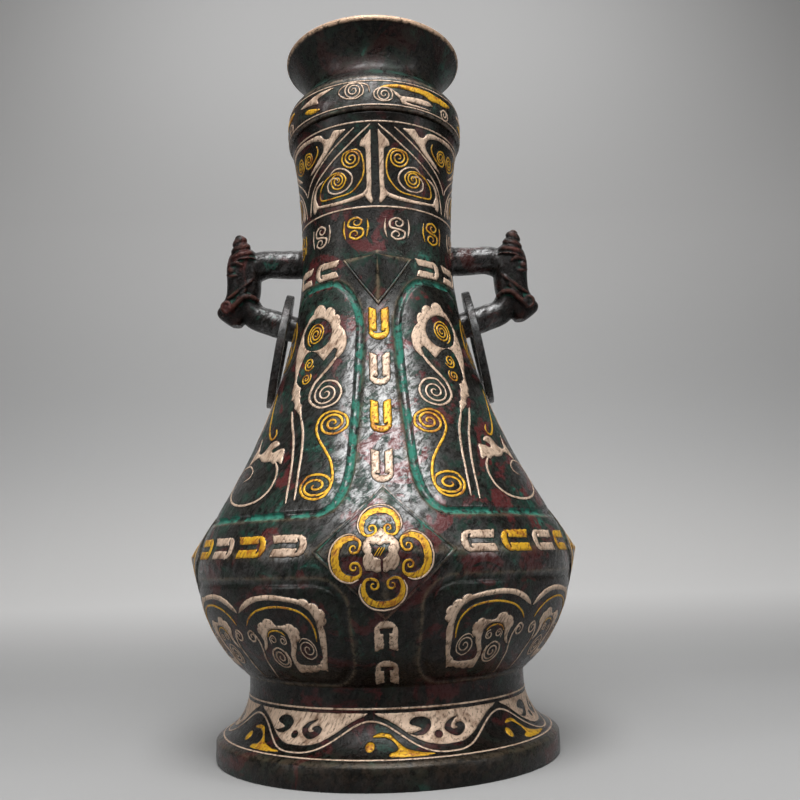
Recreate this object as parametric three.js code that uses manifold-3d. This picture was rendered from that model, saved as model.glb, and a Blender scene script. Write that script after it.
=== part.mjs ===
// Ritual pot: a cast bronze hu with a crowned lid that lifts off, two beast-head handles
// that each carry a loose ring, and silver and gold tablets let into the straps.
// Millimetres, +Z up. The foot stands on z = 0, the front is -Y and the handles lie along X.

import * as THREE from 'three';
import { mergeVertices } from 'three/addons/utils/BufferGeometryUtils.js';
import Module from 'manifold-3d';

const wasm = await Module();
wasm.setup();

// Outline of the vessel
const FOOT_RADIUS = 67.8;
const PLINTH_HEIGHT = 8;
const WAIST_RADIUS = 55;
const WAIST_HEIGHT = 29;
const BELLY_RADIUS = 76;
const BELLY_HEIGHT = 76;
const NECK_RADIUS = 33;
const NECK_BASE_HEIGHT = 196;
const MOUTH_RADIUS = 37.4;
const MOUTH_HEIGHT = 257;
const WALL = 1.9;
const FOOT_WALL = 3;
const FLOOR_THICKNESS = 2.4;

// Straps, panels and bosses
const STRAP_HALF_ANGLE = 11;
const GROOVE_DEPTH = 0.9;
const GROOVE_WIDTH = 2.8;
const PANEL_RISE = 1.5;
const BELLY_BAND_HALF_HEIGHT = 10;
const BOSS_RISE = 4.6;
const BOSS_HALF_ANGLE = 18;
const BOSS_HALF_HEIGHT = 21.5;
const NECK_BOSS_RISE = 5.2;
const NECK_BOSS_HALF_ANGLE = 24.5;
const NECK_BOSS_CREST = 9;

// Inlaid tablets
const TABLET_WIDTH = 7.8;
const TOP_TABLET_BELOW_NECK_BASE = 30;
const LAST_TABLET_ABOVE_BELLY = 31.5;
const STRAP_TABLET_LENGTH = 14.5;
const LOWER_TABLET_LENGTH = 11.6;
const TABLET_SPACING = 2.2;
const TABLET_SLOT = 2;
const TABLET_THICKNESS = 0.6;
const TABLET_PROUD = 0.1;
const BOSS_PLATE_RADIUS = 6.6;

// Lid
const LID_HEIGHT = 43;
const LID_BAND_HEIGHT = 15;
const LID_BAND_RADIUS = 39;
const CROWN_RADIUS = 39.2;
const CROWN_WAIST_RADIUS = 30.8;
const PLUG_DEPTH = 21;
const LID_CLEARANCE = 0.6;

// Handles and rings
const ARM_RADIUS = 6.2;
const LOWER_ARM_RADIUS = 5.7;
const UPPER_ARM_ABOVE_NECK_BASE = 8;
const ARM_SPACING = 29.5;
const HEAD_REACH = 24.7;
const HEAD_DROP = 28.8;
const HORN_HEIGHT = 13;
const HORN_RADIUS = 5.4;
const RING_RADIUS = 25;
const RING_HOLE_RADIUS = 18;
const RING_THICKNESS = 3.3;
const RING_STAND_OFF = 4;
const RING_REST_GAP = 1.2;

// Space left between pieces that touch
const SEAT_GAP = 0.3;

const BRONZE = { color: 0x2b2a24, roughness: 0.5, metalness: 0.85 };
const DARK_BRONZE = { color: 0x241d19, roughness: 0.45, metalness: 0.85 };
const SILVER = { color: 0xd9cbb8, roughness: 0.38, metalness: 1 };
const GOLD = { color: 0xe0a528, roughness: 0.35, metalness: 1 };

const radians = THREE.MathUtils.degToRad;
const lerp = THREE.MathUtils.lerp;
const point2 = (x, y) => new THREE.Vector2(x, y);
const point3 = (x, y, z) => new THREE.Vector3(x, y, z);

// Geometry helpers

// Turns every face outward, told by the sign of the enclosed volume.
function facedOutward(geometry) {
  const position = geometry.getAttribute('position');
  const index = geometry.getIndex();
  const corner = [point3(), point3(), point3()];
  let volume = 0;
  for (let i = 0; i < index.count; i += 3) {
    corner.forEach((vector, k) => vector.fromBufferAttribute(position, index.getX(i + k)));
    volume += corner[0].dot(corner[1].clone().cross(corner[2]));
  }
  if (volume < 0) {
    geometry.setIndex(Array.from(index.array).reverse());
  }
  return geometry;
}

function geometryFrom(points, faces) {
  const geometry = new THREE.BufferGeometry().setFromPoints(points);
  geometry.setIndex(faces);
  return geometry;
}

function toSolid(geometry) {
  const bare = geometry.clone();
  bare.deleteAttribute('normal');
  bare.deleteAttribute('uv');
  const merged = facedOutward(mergeVertices(bare, 1e-4));
  return new wasm.Manifold(new wasm.Mesh({
    numProp: 3,
    vertProperties: new Float32Array(merged.getAttribute('position').array),
    triVerts: new Uint32Array(merged.getIndex().array),
  }));
}

function toGeometry(solid) {
  const mesh = solid.getMesh();
  const geometry = new THREE.BufferGeometry();
  const corners = new Float32Array(mesh.vertProperties);
  geometry.setAttribute('position', new THREE.BufferAttribute(corners, 3));
  geometry.setIndex(Array.from(mesh.triVerts));
  geometry.computeVertexNormals();
  return geometry;
}

function joined(solids) {
  return solids.reduce((whole, next) => whole.add(next));
}

function turned(profile, segments) {
  return toSolid(new THREE.LatheGeometry(profile, segments).rotateX(Math.PI / 2));
}

// Skins a stack of closed rings that have the same number of points, and caps both ends.
function loft(rings) {
  const count = rings[0].length;
  const points = rings.flat();
  const faces = [];
  for (let row = 0; row < rings.length - 1; row += 1) {
    for (let k = 0; k < count; k += 1) {
      const here = row * count + k;
      const next = row * count + (k + 1) % count;
      faces.push(here, next, next + count, here, next + count, here + count);
    }
  }
  [0, rings.length - 1].forEach((row) => {
    const middle = points.push(centreOf(rings[row])) - 1;
    for (let k = 0; k < count; k += 1) {
      const pair = [row * count + k, row * count + (k + 1) % count];
      faces.push(middle, ...(row === 0 ? pair.reverse() : pair));
    }
  });
  return toSolid(geometryFrom(points, faces));
}

function centreOf(points) {
  return points.reduce((sum, point) => sum.add(point), point3(0, 0, 0)).divideScalar(points.length);
}

function tube(path, radius, steps, sides) {
  const section = new THREE.Shape();
  for (let k = 0; k < sides; k += 1) {
    const turn = 2 * Math.PI * k / sides;
    const corner = [radius * Math.cos(turn), radius * Math.sin(turn)];
    if (k === 0) {
      section.moveTo(...corner);
    } else {
      section.lineTo(...corner);
    }
  }
  return toSolid(new THREE.ExtrudeGeometry(section, { steps, extrudePath: path, bevelEnabled: false }));
}

// Vessel outline, from the plinth to the mouth

function vesselPath() {
  const shoulder = point2(
    lerp(NECK_RADIUS, BELLY_RADIUS, 0.82), lerp(BELLY_HEIGHT, NECK_BASE_HEIGHT, 0.142));
  const plinthStep = 1.2;
  const path = new THREE.Path();
  path.moveTo(FOOT_RADIUS, 0);
  path.lineTo(FOOT_RADIUS, PLINTH_HEIGHT);
  path.lineTo(FOOT_RADIUS - plinthStep, PLINTH_HEIGHT + 1);
  path.bezierCurveTo(
    lerp(WAIST_RADIUS, FOOT_RADIUS, 0.4), PLINTH_HEIGHT + 3.5,
    WAIST_RADIUS, lerp(PLINTH_HEIGHT, WAIST_HEIGHT, 0.43),
    WAIST_RADIUS, WAIST_HEIGHT - 2);
  path.lineTo(WAIST_RADIUS, WAIST_HEIGHT + 2);
  path.bezierCurveTo(
    lerp(WAIST_RADIUS, BELLY_RADIUS, 0.38), lerp(WAIST_HEIGHT, BELLY_HEIGHT, 0.19),
    lerp(WAIST_RADIUS, BELLY_RADIUS, 0.95), lerp(WAIST_HEIGHT, BELLY_HEIGHT, 0.49),
    BELLY_RADIUS, BELLY_HEIGHT - 2);
  path.quadraticCurveTo(BELLY_RADIUS, BELLY_HEIGHT + 5.2, shoulder.x, shoulder.y);
  path.bezierCurveTo(
    lerp(NECK_RADIUS, BELLY_RADIUS, 0.36), lerp(BELLY_HEIGHT, NECK_BASE_HEIGHT, 0.392),
    lerp(NECK_RADIUS, BELLY_RADIUS, 0.056), lerp(BELLY_HEIGHT, NECK_BASE_HEIGHT, 0.725),
    NECK_RADIUS + 0.2, NECK_BASE_HEIGHT);
  path.bezierCurveTo(
    NECK_RADIUS - 0.6, lerp(NECK_BASE_HEIGHT, MOUTH_HEIGHT, 0.26),
    NECK_RADIUS + 0.2, lerp(NECK_BASE_HEIGHT, MOUTH_HEIGHT, 0.69),
    MOUTH_RADIUS, MOUTH_HEIGHT);
  return path;
}

const outlinePoints = vesselPath().getPoints(24);

// Radius of the outline at a height: heights only climb along it, so a straight search serves.
function radiusAt(z) {
  const above = outlinePoints.findIndex((point) => point.y > z);
  if (above < 1) {
    return above === 0 ? FOOT_RADIUS : outlinePoints.at(-1).x;
  }
  const [low, high] = [outlinePoints[above - 1], outlinePoints[above]];
  return lerp(low.x, high.x, (z - low.y) / (high.y - low.y));
}

// Point on the vessel: the angle in degrees turns from the front (-Y) towards +X.
function onVessel(angle, z, offset) {
  const radius = radiusAt(z) + offset;
  return point3(radius * Math.sin(radians(angle)), -radius * Math.cos(radians(angle)), z);
}

// Outline moved inward by the wall's thickness, measured square to the surface.
function innerOutline(from, to, thickness, count) {
  const points = [];
  for (let k = 0; k <= count; k += 1) {
    const z = lerp(from, to, k / count);
    const slope = (radiusAt(z + 0.5) - radiusAt(z - 0.5));
    points.push(point2(radiusAt(z) - thickness * Math.hypot(1, slope), z));
  }
  return points;
}

// Tablets stand in a column down each strap, from a top place and at an even pitch
const STRAP_TOP = NECK_BASE_HEIGHT - TOP_TABLET_BELOW_NECK_BASE;
const STRAP_PITCH = (STRAP_TOP - BELLY_HEIGHT - LAST_TABLET_ABOVE_BELLY) / 3;
const BELOW_BELLY = [0.434, 0.162].map((share) => lerp(WAIST_HEIGHT, BELLY_HEIGHT, share));

// Relief of the straps and panels. The skin's rings pass between the tablets.

const UPPER_PANEL = {
  bottom: BELLY_HEIGHT + BELLY_BAND_HALF_HEIGHT + 4.5,
  top: NECK_BASE_HEIGHT - 10.5,
  bottomCorner: { height: 18, sweep: 8 },
  topCorner: { height: 23, sweep: 23 },
  rows: [-3.5, -2.5, -1.5, -0.5, 0.5, 0.77].map((place) => STRAP_TOP + place * STRAP_PITCH),
};
const LOWER_PANEL = {
  bottom: WAIST_HEIGHT + 4,
  top: BELLY_HEIGHT - BELLY_BAND_HALF_HEIGHT + 1.5,
  bottomCorner: { height: 9, sweep: 8 },
  topCorner: { height: 9, sweep: 8 },
  rows: [0.29, 0.44, 0.6, 0.72].map((share) => lerp(WAIST_HEIGHT, BELLY_HEIGHT, share)),
};
const COLUMNS_PER_EIGHTH = 6;

// Angle from a strap's middle to the panel's edge, which rounds off towards both ends.
function panelEdgeAngle(panel, z) {
  const quarterRound = (corner, fromEnd) => {
    const share = THREE.MathUtils.clamp(1 - fromEnd / corner.height, 0, 1);
    return corner.sweep * (1 - Math.sqrt(1 - share * share));
  };
  return STRAP_HALF_ANGLE
    + quarterRound(panel.bottomCorner, z - panel.bottom)
    + quarterRound(panel.topCorner, panel.top - z);
}

// Half of one ring of the skin: angles from a strap's middle to the panel's middle, with the
// height of the relief at each. Plain rings are even; the others follow the panel's edge.
function plainStations() {
  const stations = [];
  for (let k = 0; k <= COLUMNS_PER_EIGHTH; k += 1) {
    stations.push({ angle: 45 * k / COLUMNS_PER_EIGHTH, rise: 0 });
  }
  return stations;
}

function panelStations(panel, z, isRim) {
  const edge = panelEdgeAngle(panel, z);
  const grooveHalf = THREE.MathUtils.radToDeg(GROOVE_WIDTH / 2 / radiusAt(z));
  const shoulder = edge + grooveHalf;
  const swellHeight = 14;
  const crown = Math.min(1, (z - panel.bottom) / swellHeight, (panel.top - z) / swellHeight);
  const height = isRim ? 0 : PANEL_RISE * Math.sqrt(Math.max(crown, 0));
  const swell = (share) => (isRim ? -GROOVE_DEPTH : height * share);
  return [
    { angle: 0, rise: 0 },
    { angle: edge - grooveHalf, rise: 0 },
    { angle: edge, rise: -GROOVE_DEPTH },
    { angle: shoulder, rise: swell(0.25) },
    { angle: lerp(shoulder, 45, 0.3), rise: swell(0.8) },
    { angle: lerp(shoulder, 45, 0.64), rise: swell(0.97) },
    { angle: 45, rise: swell(1) },
  ];
}

function panelRings(panel) {
  const half = GROOVE_WIDTH / 2;
  return [
    { z: panel.bottom - half, stations: plainStations() },
    { z: panel.bottom, stations: panelStations(panel, panel.bottom, true) },
    { z: panel.bottom + half, stations: panelStations(panel, panel.bottom + half, false) },
    ...panel.rows.map((z) => ({ z, stations: panelStations(panel, z, false) })),
    { z: panel.top - half, stations: panelStations(panel, panel.top - half, false) },
    { z: panel.top, stations: panelStations(panel, panel.top, true) },
    { z: panel.top + half, stations: plainStations() },
  ];
}

function plainRings(heights) {
  return heights.map((z) => ({ z, stations: plainStations() }));
}

// Whole outer skin, moved out by an offset where a neighbour is cut back from it.
function vesselSkin(offset) {
  const foot = [0, 1, 1.13, 1.55, 2.3].map((share) => PLINTH_HEIGHT * share);
  const band = [-5, -0.7, 8.8].map((share) => BELLY_HEIGHT + share);
  const neck = [0.08, 0.3, 0.54, 0.78].map((share) => lerp(NECK_BASE_HEIGHT, MOUTH_HEIGHT, share));
  const rings = [
    ...plainRings(foot),
    ...panelRings(LOWER_PANEL),
    ...plainRings(band),
    ...panelRings(UPPER_PANEL),
    ...plainRings([NECK_BASE_HEIGHT - 5, ...neck, MOUTH_HEIGHT]),
  ];
  return loft(rings.map(({ z, stations }) => {
    const mirrored = stations.slice(1, -1).reverse()
      .map(({ angle, rise }) => ({ angle: 90 - angle, rise }));
    const quadrant = [...stations, ...mirrored];
    const ring = [];
    for (let turn = 0; turn < 360; turn += 90) {
      quadrant.forEach(({ angle, rise }) => ring.push(onVessel(angle + turn, z, rise + offset)));
    }
    return ring;
  }));
}

// Diamond boss: four soft facets that climb from a diamond on the skin to one point.
function boss({ angle, z, halfAngle, up, down, rise }) {
  const rim = [];
  const perSide = 2;
  for (let k = 0; k < 4 * perSide; k += 1) {
    const side = Math.floor(k / perSide);
    const share = (k % perSide) / perSide;
    const across = [1 - share, -share, share - 1, share][side];
    const along = [share, 1 - share, -share, share - 1][side];
    rim.push(onVessel(angle + across * halfAngle, z + along * (along > 0 ? up : down), -0.1));
  }
  const points = [...rim, onVessel(angle, z, rise), onVessel(angle, z, -4 * WALL)];
  const [tip, back] = [rim.length, rim.length + 1];
  const faces = [];
  for (let k = 0; k < rim.length; k += 1) {
    const next = (k + 1) % rim.length;
    faces.push(k, next, tip, next, k, back);
  }
  return toSolid(geometryFrom(points, faces));
}

const SIDES = { front: 0, right: 90, back: 180, left: 270 };

const BELLY_BOSSES = Object.values(SIDES).map((angle) => ({
  angle,
  z: BELLY_HEIGHT + 1.5,
  halfAngle: BOSS_HALF_ANGLE,
  up: BOSS_HALF_HEIGHT,
  down: BOSS_HALF_HEIGHT,
  rise: BOSS_RISE,
}));
const NECK_BOSSES = [SIDES.front, SIDES.back].map((angle) => ({
  angle,
  z: NECK_BASE_HEIGHT - 0.5,
  halfAngle: NECK_BOSS_HALF_ANGLE,
  up: NECK_BOSS_CREST,
  down: BOSS_HALF_HEIGHT,
  rise: NECK_BOSS_RISE,
}));

// Tablets: U-shaped pieces of silver or gold, each seated in a pocket of its own

// Outline of a tablet laid flat with its closed end towards +x, grown by a pocket's margin
function tabletOutline(length, margin) {
  const halfLength = length / 2 + margin;
  const halfWidth = TABLET_WIDTH / 2 + margin;
  const halfSlot = TABLET_SLOT / 2 - margin;
  const roundCentre = halfLength - halfWidth;
  const slotEnd = roundCentre + halfSlot / 2 - margin;
  const outline = [point2(-halfLength, -halfWidth)];
  const roundSteps = 3;
  for (let k = 0; k <= roundSteps; k += 1) {
    const turn = Math.PI * (k / roundSteps - 0.5);
    outline.push(point2(roundCentre + halfWidth * Math.cos(turn), halfWidth * Math.sin(turn)));
  }
  outline.push(point2(-halfLength, halfWidth), point2(-halfLength, halfSlot));
  outline.push(point2(slotEnd, halfSlot), point2(slotEnd, -halfSlot), point2(-halfLength, -halfSlot));
  return outline;
}

// A plate wrapped on the vessel. The heading tells where the closed end points:
// 'up' and 'down' lie along a strap, 'left' and 'right' round the body.
function wrappedTablet({ angle, z, length, heading }, margin, inner, outer) {
  const isUpright = heading === 'up' || heading === 'down';
  const outline = tabletOutline(length, margin);
  const flat = THREE.ShapeUtils.triangulateShape(outline, []);
  const slope = radiusAt(z + 1) - radiusAt(z - 1);
  const steepness = 1 / Math.hypot(1, slope / 2);
  const place = (corner, offset) => {
    const forward = heading === 'up' || heading === 'right' ? corner.x : -corner.x;
    const [across, along] = isUpright ? [corner.y, forward] : [forward, corner.y];
    const height = z + along * steepness;
    return onVessel(angle + THREE.MathUtils.radToDeg(across / radiusAt(height)), height, offset);
  };
  const count = outline.length;
  const points = [inner, outer].flatMap((offset) => outline.map((corner) => place(corner, offset)));
  const faces = [];
  flat.forEach(([a, b, c]) => faces.push(a, c, b, a + count, b + count, c + count));
  for (let k = 0; k < count; k += 1) {
    const next = (k + 1) % count;
    faces.push(k, next, next + count, k, next + count, k + count);
  }
  return toSolid(geometryFrom(points, faces));
}

function tabletSolid(tablet) {
  return wrappedTablet(tablet, 0, TABLET_PROUD - TABLET_THICKNESS, TABLET_PROUD);
}

function tabletPocket(tablet) {
  return wrappedTablet(tablet, SEAT_GAP, TABLET_PROUD - TABLET_THICKNESS - SEAT_GAP, 2);
}

function tabletList() {
  const tablets = [];
  const add = (name, metal, angle, z, length, heading) => {
    tablets.push({ name, metal, angle, z, length, heading });
  };

  // Four on each front and back strap above the belly; the side straps lose the top one
  // to the handle's root.
  Object.entries(SIDES).forEach(([side, angle]) => {
    const first = side === 'left' || side === 'right' ? 1 : 0;
    for (let k = first; k < 4; k += 1) {
      const metal = k % 2 === 0 ? 'gold' : 'silver';
      const z = STRAP_TOP - k * STRAP_PITCH;
      add(`${metal}_tablet_${side}_strap_${k + 1}`, metal, angle, z, STRAP_TABLET_LENGTH, 'down');
    }
  });

  // Two below each belly boss
  Object.entries(SIDES).forEach(([side, angle]) => {
    BELOW_BELLY.forEach((z, k) => {
      add(`silver_tablet_${side}_below_${k + 1}`, 'silver', angle, z, LOWER_TABLET_LENGTH, 'up');
    });
  });

  // In each quarter: four on the belly band, closed ends towards the front or back boss,
  // and two at the foot of the neck, closed ends towards the handle
  const bossMargin = 1.5;
  const bandZ = BELLY_HEIGHT + 4;
  const bandPitch = (90 - 2 * (BOSS_HALF_ANGLE + bossMargin)) / 4;
  const bandLength = radians(bandPitch) * radiusAt(bandZ) - TABLET_SPACING;
  const neckZ = NECK_BASE_HEIGHT - 4.6;
  const neckPitch = 25.5;
  const neckLength = radians(neckPitch) * radiusAt(neckZ) - TABLET_SPACING;
  [
    ['front', 'right', 1],
    ['front', 'left', -1],
    ['back', 'right', -1],
    ['back', 'left', 1],
  ].forEach(([end, side, sense]) => {
    const [towardsEnd, towardsHandle] = sense > 0 ? ['left', 'right'] : ['right', 'left'];
    for (let k = 0; k < 4; k += 1) {
      const angle = SIDES[end] + sense * (BOSS_HALF_ANGLE + bossMargin + bandPitch * (k + 0.5));
      const metal = k % 2 === 0 ? 'silver' : 'gold';
      add(`${metal}_tablet_${end}_${side}_belly_${k + 1}`, metal, angle, bandZ, bandLength, towardsEnd);
    }
    for (let k = 0; k < 2; k += 1) {
      const angle = SIDES[end] + sense * (NECK_BOSS_HALF_ANGLE + bossMargin + neckPitch * (k + 0.5));
      add(`silver_tablet_${end}_${side}_neck_${k + 1}`, 'silver', angle, neckZ, neckLength, towardsHandle);
    }
  });
  return tablets;
}

// Octagonal prism round a belly boss's tip, and the boss itself sunk by a depth: between
// them they bound the plate's seat or the plate.
function bossPlateBounds(place, grow, depth) {
  const sides = 8;
  const radius = BOSS_PLATE_RADIUS + grow;
  const reach = radiusAt(place.z) + place.rise;
  const upright = new THREE.Matrix4().makeTranslation(0, 0, place.z)
    .multiply(new THREE.Matrix4().makeRotationX(Math.PI / 2));
  const toSide = new THREE.Matrix4().makeRotationZ(radians(place.angle)).multiply(upright);
  const prism = loft([reach - 2 * BOSS_PLATE_RADIUS, reach + 1].map((distance) => {
    const ring = [];
    for (let k = 0; k < sides; k += 1) {
      const turn = Math.PI * (2 * k + 1) / sides;
      ring.push(point3(radius * Math.cos(turn), radius * Math.sin(turn), distance).applyMatrix4(toSide));
    }
    return ring;
  }));
  const inward = onVessel(place.angle, place.z, 0).setZ(0).setLength(depth).negate();
  const core = boss(place).translate([inward.x, inward.y, inward.z]);
  return { prism, core };
}

// Vessel body

function vesselBody(tablets) {
  const floorTop = WAIST_HEIGHT + FLOOR_THICKNESS / 2;
  const inside = innerOutline(floorTop, MOUTH_HEIGHT - 1, WALL, 12);
  const mouth = point2(inside.at(-1).x, MOUTH_HEIGHT + 5);
  const cavity = turned([point2(0, floorTop), ...inside, mouth, point2(0, mouth.y)], 26);

  const ceiling = WAIST_HEIGHT - FLOOR_THICKNESS / 2;
  const hollowWall = (z) => radiusAt(z) - FOOT_WALL;
  const underFoot = turned([
    point2(0, -5),
    point2(hollowWall(0), -5),
    point2(hollowWall(0), PLINTH_HEIGHT * 0.7),
    point2(hollowWall(PLINTH_HEIGHT * 1.7), PLINTH_HEIGHT * 1.6),
    point2(hollowWall(ceiling) - 1, ceiling),
    point2(0, ceiling),
  ], 26);

  let body = joined([vesselSkin(0), ...[...BELLY_BOSSES, ...NECK_BOSSES].map(boss)]);
  body = body.subtract(cavity).subtract(underFoot);
  tablets.forEach((tablet) => {
    body = body.subtract(tabletPocket(tablet));
  });
  BELLY_BOSSES.forEach((place) => {
    const { prism, core } = bossPlateBounds(place, SEAT_GAP, TABLET_THICKNESS + SEAT_GAP);
    body = body.subtract(prism.subtract(core));
  });
  return body;
}

function bossPlateSolid(place) {
  const { prism, core } = bossPlateBounds(place, 0, TABLET_THICKNESS);
  return boss(place).intersect(prism).subtract(core);
}

// Lid: crown, shoulder band and hollow plug in one casting, seated in the mouth

function lid() {
  const seat = MOUTH_HEIGHT + SEAT_GAP;
  const top = MOUTH_HEIGHT + LID_HEIGHT;
  const bandTop = MOUTH_HEIGHT + LID_BAND_HEIGHT;
  const crownWaist = lerp(bandTop, top, 0.37);
  const plate = bandTop + WALL;
  const plugTop = radiusAt(MOUTH_HEIGHT) - WALL - LID_CLEARANCE - 0.3;
  const plugBottomZ = MOUTH_HEIGHT - PLUG_DEPTH;
  const plugBottom = radiusAt(plugBottomZ) - WALL - LID_CLEARANCE - 0.3;
  const crownWall = 2.1;

  const outside = new THREE.Path();
  outside.moveTo(LID_BAND_RADIUS - 0.8, seat);
  outside.quadraticCurveTo(
    LID_BAND_RADIUS + 0.5, lerp(seat, bandTop, 0.5), LID_BAND_RADIUS - 0.5, bandTop - 2);
  outside.bezierCurveTo(
    LID_BAND_RADIUS - 1, bandTop + 2.5,
    CROWN_WAIST_RADIUS, crownWaist - 5,
    CROWN_WAIST_RADIUS, crownWaist);
  outside.bezierCurveTo(
    CROWN_WAIST_RADIUS, lerp(crownWaist, top, 0.35),
    lerp(CROWN_WAIST_RADIUS, CROWN_RADIUS, 0.6), lerp(crownWaist, top, 0.68),
    CROWN_RADIUS, top - 2);
  outside.quadraticCurveTo(CROWN_RADIUS + 0.4, top - 0.4, CROWN_RADIUS - 0.5, top);

  const dish = new THREE.Path();
  dish.moveTo(CROWN_RADIUS - 1.9, top);
  dish.bezierCurveTo(
    lerp(CROWN_WAIST_RADIUS, CROWN_RADIUS, 0.5) - crownWall, lerp(crownWaist, top, 0.7),
    CROWN_WAIST_RADIUS - crownWall, lerp(crownWaist, top, 0.4),
    CROWN_WAIST_RADIUS - crownWall, crownWaist);
  dish.lineTo(CROWN_WAIST_RADIUS - crownWall, plate + 2);
  dish.lineTo(CROWN_WAIST_RADIUS - crownWall - 2, plate);
  dish.lineTo(0, plate);

  const underside = plate - WALL;
  const bandInside = LID_BAND_RADIUS - WALL - 0.6;
  const plugInside = plugBottom - WALL;
  return turned([
    point2(0, underside),
    point2(bandInside - 5, underside),
    point2(bandInside, underside - 4),
    point2(bandInside, seat + WALL),
    point2(plugTop - WALL, seat + WALL),
    point2(plugInside, plugBottomZ),
    point2(plugBottom - 0.6, plugBottomZ),
    point2(plugBottom, plugBottomZ + 1),
    point2(plugTop, seat),
    ...outside.getPoints(3),
    ...dish.getPoints(3),
  ], 30);
}

// Handles: a loop cast in one with a horned beast's head, mirrored from right to left

const UPPER_ARM_Z = NECK_BASE_HEIGHT + UPPER_ARM_ABOVE_NECK_BASE;
const LOWER_ARM_Z = UPPER_ARM_Z - ARM_SPACING;
const HEAD_X = radiusAt(UPPER_ARM_Z) + HEAD_REACH;

// Middle line of the loop: out along the upper arm, down through the head, back to the body
function loopPath() {
  const root = radiusAt(UPPER_ARM_Z) - WALL / 2;
  const lowerRoot = radiusAt(LOWER_ARM_Z) - WALL / 2;
  return new THREE.CatmullRomCurve3([
    point3(root, 0, UPPER_ARM_Z),
    point3(lerp(root, HEAD_X, 0.35), 0, UPPER_ARM_Z),
    point3(lerp(root, HEAD_X, 0.72), 0, UPPER_ARM_Z),
    point3(HEAD_X + 0.3, 0, UPPER_ARM_Z - 5),
    point3(HEAD_X + 1.2, 0, lerp(UPPER_ARM_Z, LOWER_ARM_Z, 0.5)),
    point3(HEAD_X - 3.4, 0, LOWER_ARM_Z + 6.4),
    point3(lerp(lowerRoot, HEAD_X, 0.5), 0, LOWER_ARM_Z + 3),
    point3(lowerRoot, 0, LOWER_ARM_Z - 0.8),
  ], false, 'centripetal');
}

// Head sections from the brow down to the chin, in shares of the head's drop: height above
// the arm, back, front, half width
const HEAD_SECTIONS = [
  [0.222, -0.097, 0.188, 0.181],
  [0.122, -0.194, 0.271, 0.25],
  [-0.069, -0.215, 0.309, 0.285],
  [-0.278, -0.215, 0.309, 0.274],
  [-0.486, -0.201, 0.323, 0.243],
  [-0.625, -0.153, 0.382, 0.215],
  [-0.729, -0.09, 0.448, 0.205],
  [-0.833, -0.028, 0.42, 0.194],
  [-0.938, 0.028, 0.312, 0.167],
  [-1, 0.076, 0.229, 0.118],
];

// Point of the head from the arm's middle, in shares of the head's drop
function onHead(reach, width, height) {
  return point3(
    HEAD_X + reach * HEAD_DROP, width * HEAD_DROP, UPPER_ARM_Z + height * HEAD_DROP);
}

function headSolid() {
  const corners = 10;
  const rings = HEAD_SECTIONS.map(([height, back, front, halfWidth]) => {
    const ring = [];
    for (let k = 0; k < corners; k += 1) {
      const turn = 2 * Math.PI * k / corners;
      const squared = (value) => Math.sign(value) * Math.abs(value) ** 0.8;
      const reach = (front + back) / 2 + squared(Math.cos(turn)) * (front - back) / 2;
      ring.push(onHead(reach, squared(Math.sin(turn)) * halfWidth, height));
    }
    return ring;
  });
  return loft(rings.reverse());
}

// Horn turned like a snail shell: ridges that shrink towards the tip
function hornSolid() {
  const ridges = 3;
  const profile = [point2(0, 0), point2(HORN_RADIUS, 0)];
  for (let k = 0; k < ridges; k += 1) {
    const low = k / ridges;
    const high = (k + 1) / ridges;
    profile.push(point2(HORN_RADIUS * (1 - 0.78 * low), HORN_HEIGHT * lerp(low, high, 0.45)));
    profile.push(point2(HORN_RADIUS * (1 - 0.78 * high) - 0.5, HORN_HEIGHT * high));
  }
  profile.pop();
  profile.push(point2(0, HORN_HEIGHT));
  return turned(profile, 8).rotate([0, 9, 0]);
}

// Curve that lies on one cheek, from points given as reach, half width and height
function cheekCurve(side, stops) {
  return new THREE.CatmullRomCurve3(stops.map(([reach, width, height]) => (
    onHead(reach, side * width, height))));
}

function handle() {
  const parts = [tube(loopPath(), LOWER_ARM_RADIUS, 12, 10), headSolid()];
  const collar = new THREE.LineCurve3(
    point3(radiusAt(UPPER_ARM_Z) - WALL / 2, 0, UPPER_ARM_Z), point3(HEAD_X - 4, 0, UPPER_ARM_Z));
  parts.push(tube(collar, ARM_RADIUS, 1, 10));
  [-1, 1].forEach((side) => {
    const hornFoot = onHead(0.062, side * 0.16, 0.052);
    parts.push(hornSolid().translate([hornFoot.x, hornFoot.y, hornFoot.z]));
    const eye = new THREE.SphereGeometry(HEAD_DROP * 0.069, 6, 4);
    parts.push(toSolid(eye.translate(...onHead(0.188, side * 0.229, -0.156))));
    const brow = cheekCurve(side, [[-0.035, 0.278, -0.035], [0.118, 0.271, 0.014], [0.264, 0.188, -0.083]]);
    parts.push(tube(brow, HEAD_DROP * 0.045, 3, 4));
    const lip = cheekCurve(side, [
      [-0.139, 0.222, -0.365],
      [0, 0.253, -0.503],
      [0.174, 0.222, -0.556],
      [0.326, 0.16, -0.646],
    ]);
    parts.push(tube(lip, HEAD_DROP * 0.038, 5, 4));
    const jaw = cheekCurve(side, [[-0.09, 0.215, -0.538], [0.104, 0.215, -0.66], [0.312, 0.17, -0.812]]);
    parts.push(tube(jaw, HEAD_DROP * 0.035, 3, 4));
    const nostril = new THREE.SphereGeometry(HEAD_DROP * 0.083, 7, 4);
    parts.push(toSolid(nostril.translate(...onHead(0.333, side * 0.135, -0.715))));
  });
  return joined(parts).subtract(vesselSkin(SEAT_GAP));
}

// Rings: flat hoops hung on the lower arms, each leaning on the shoulder

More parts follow.
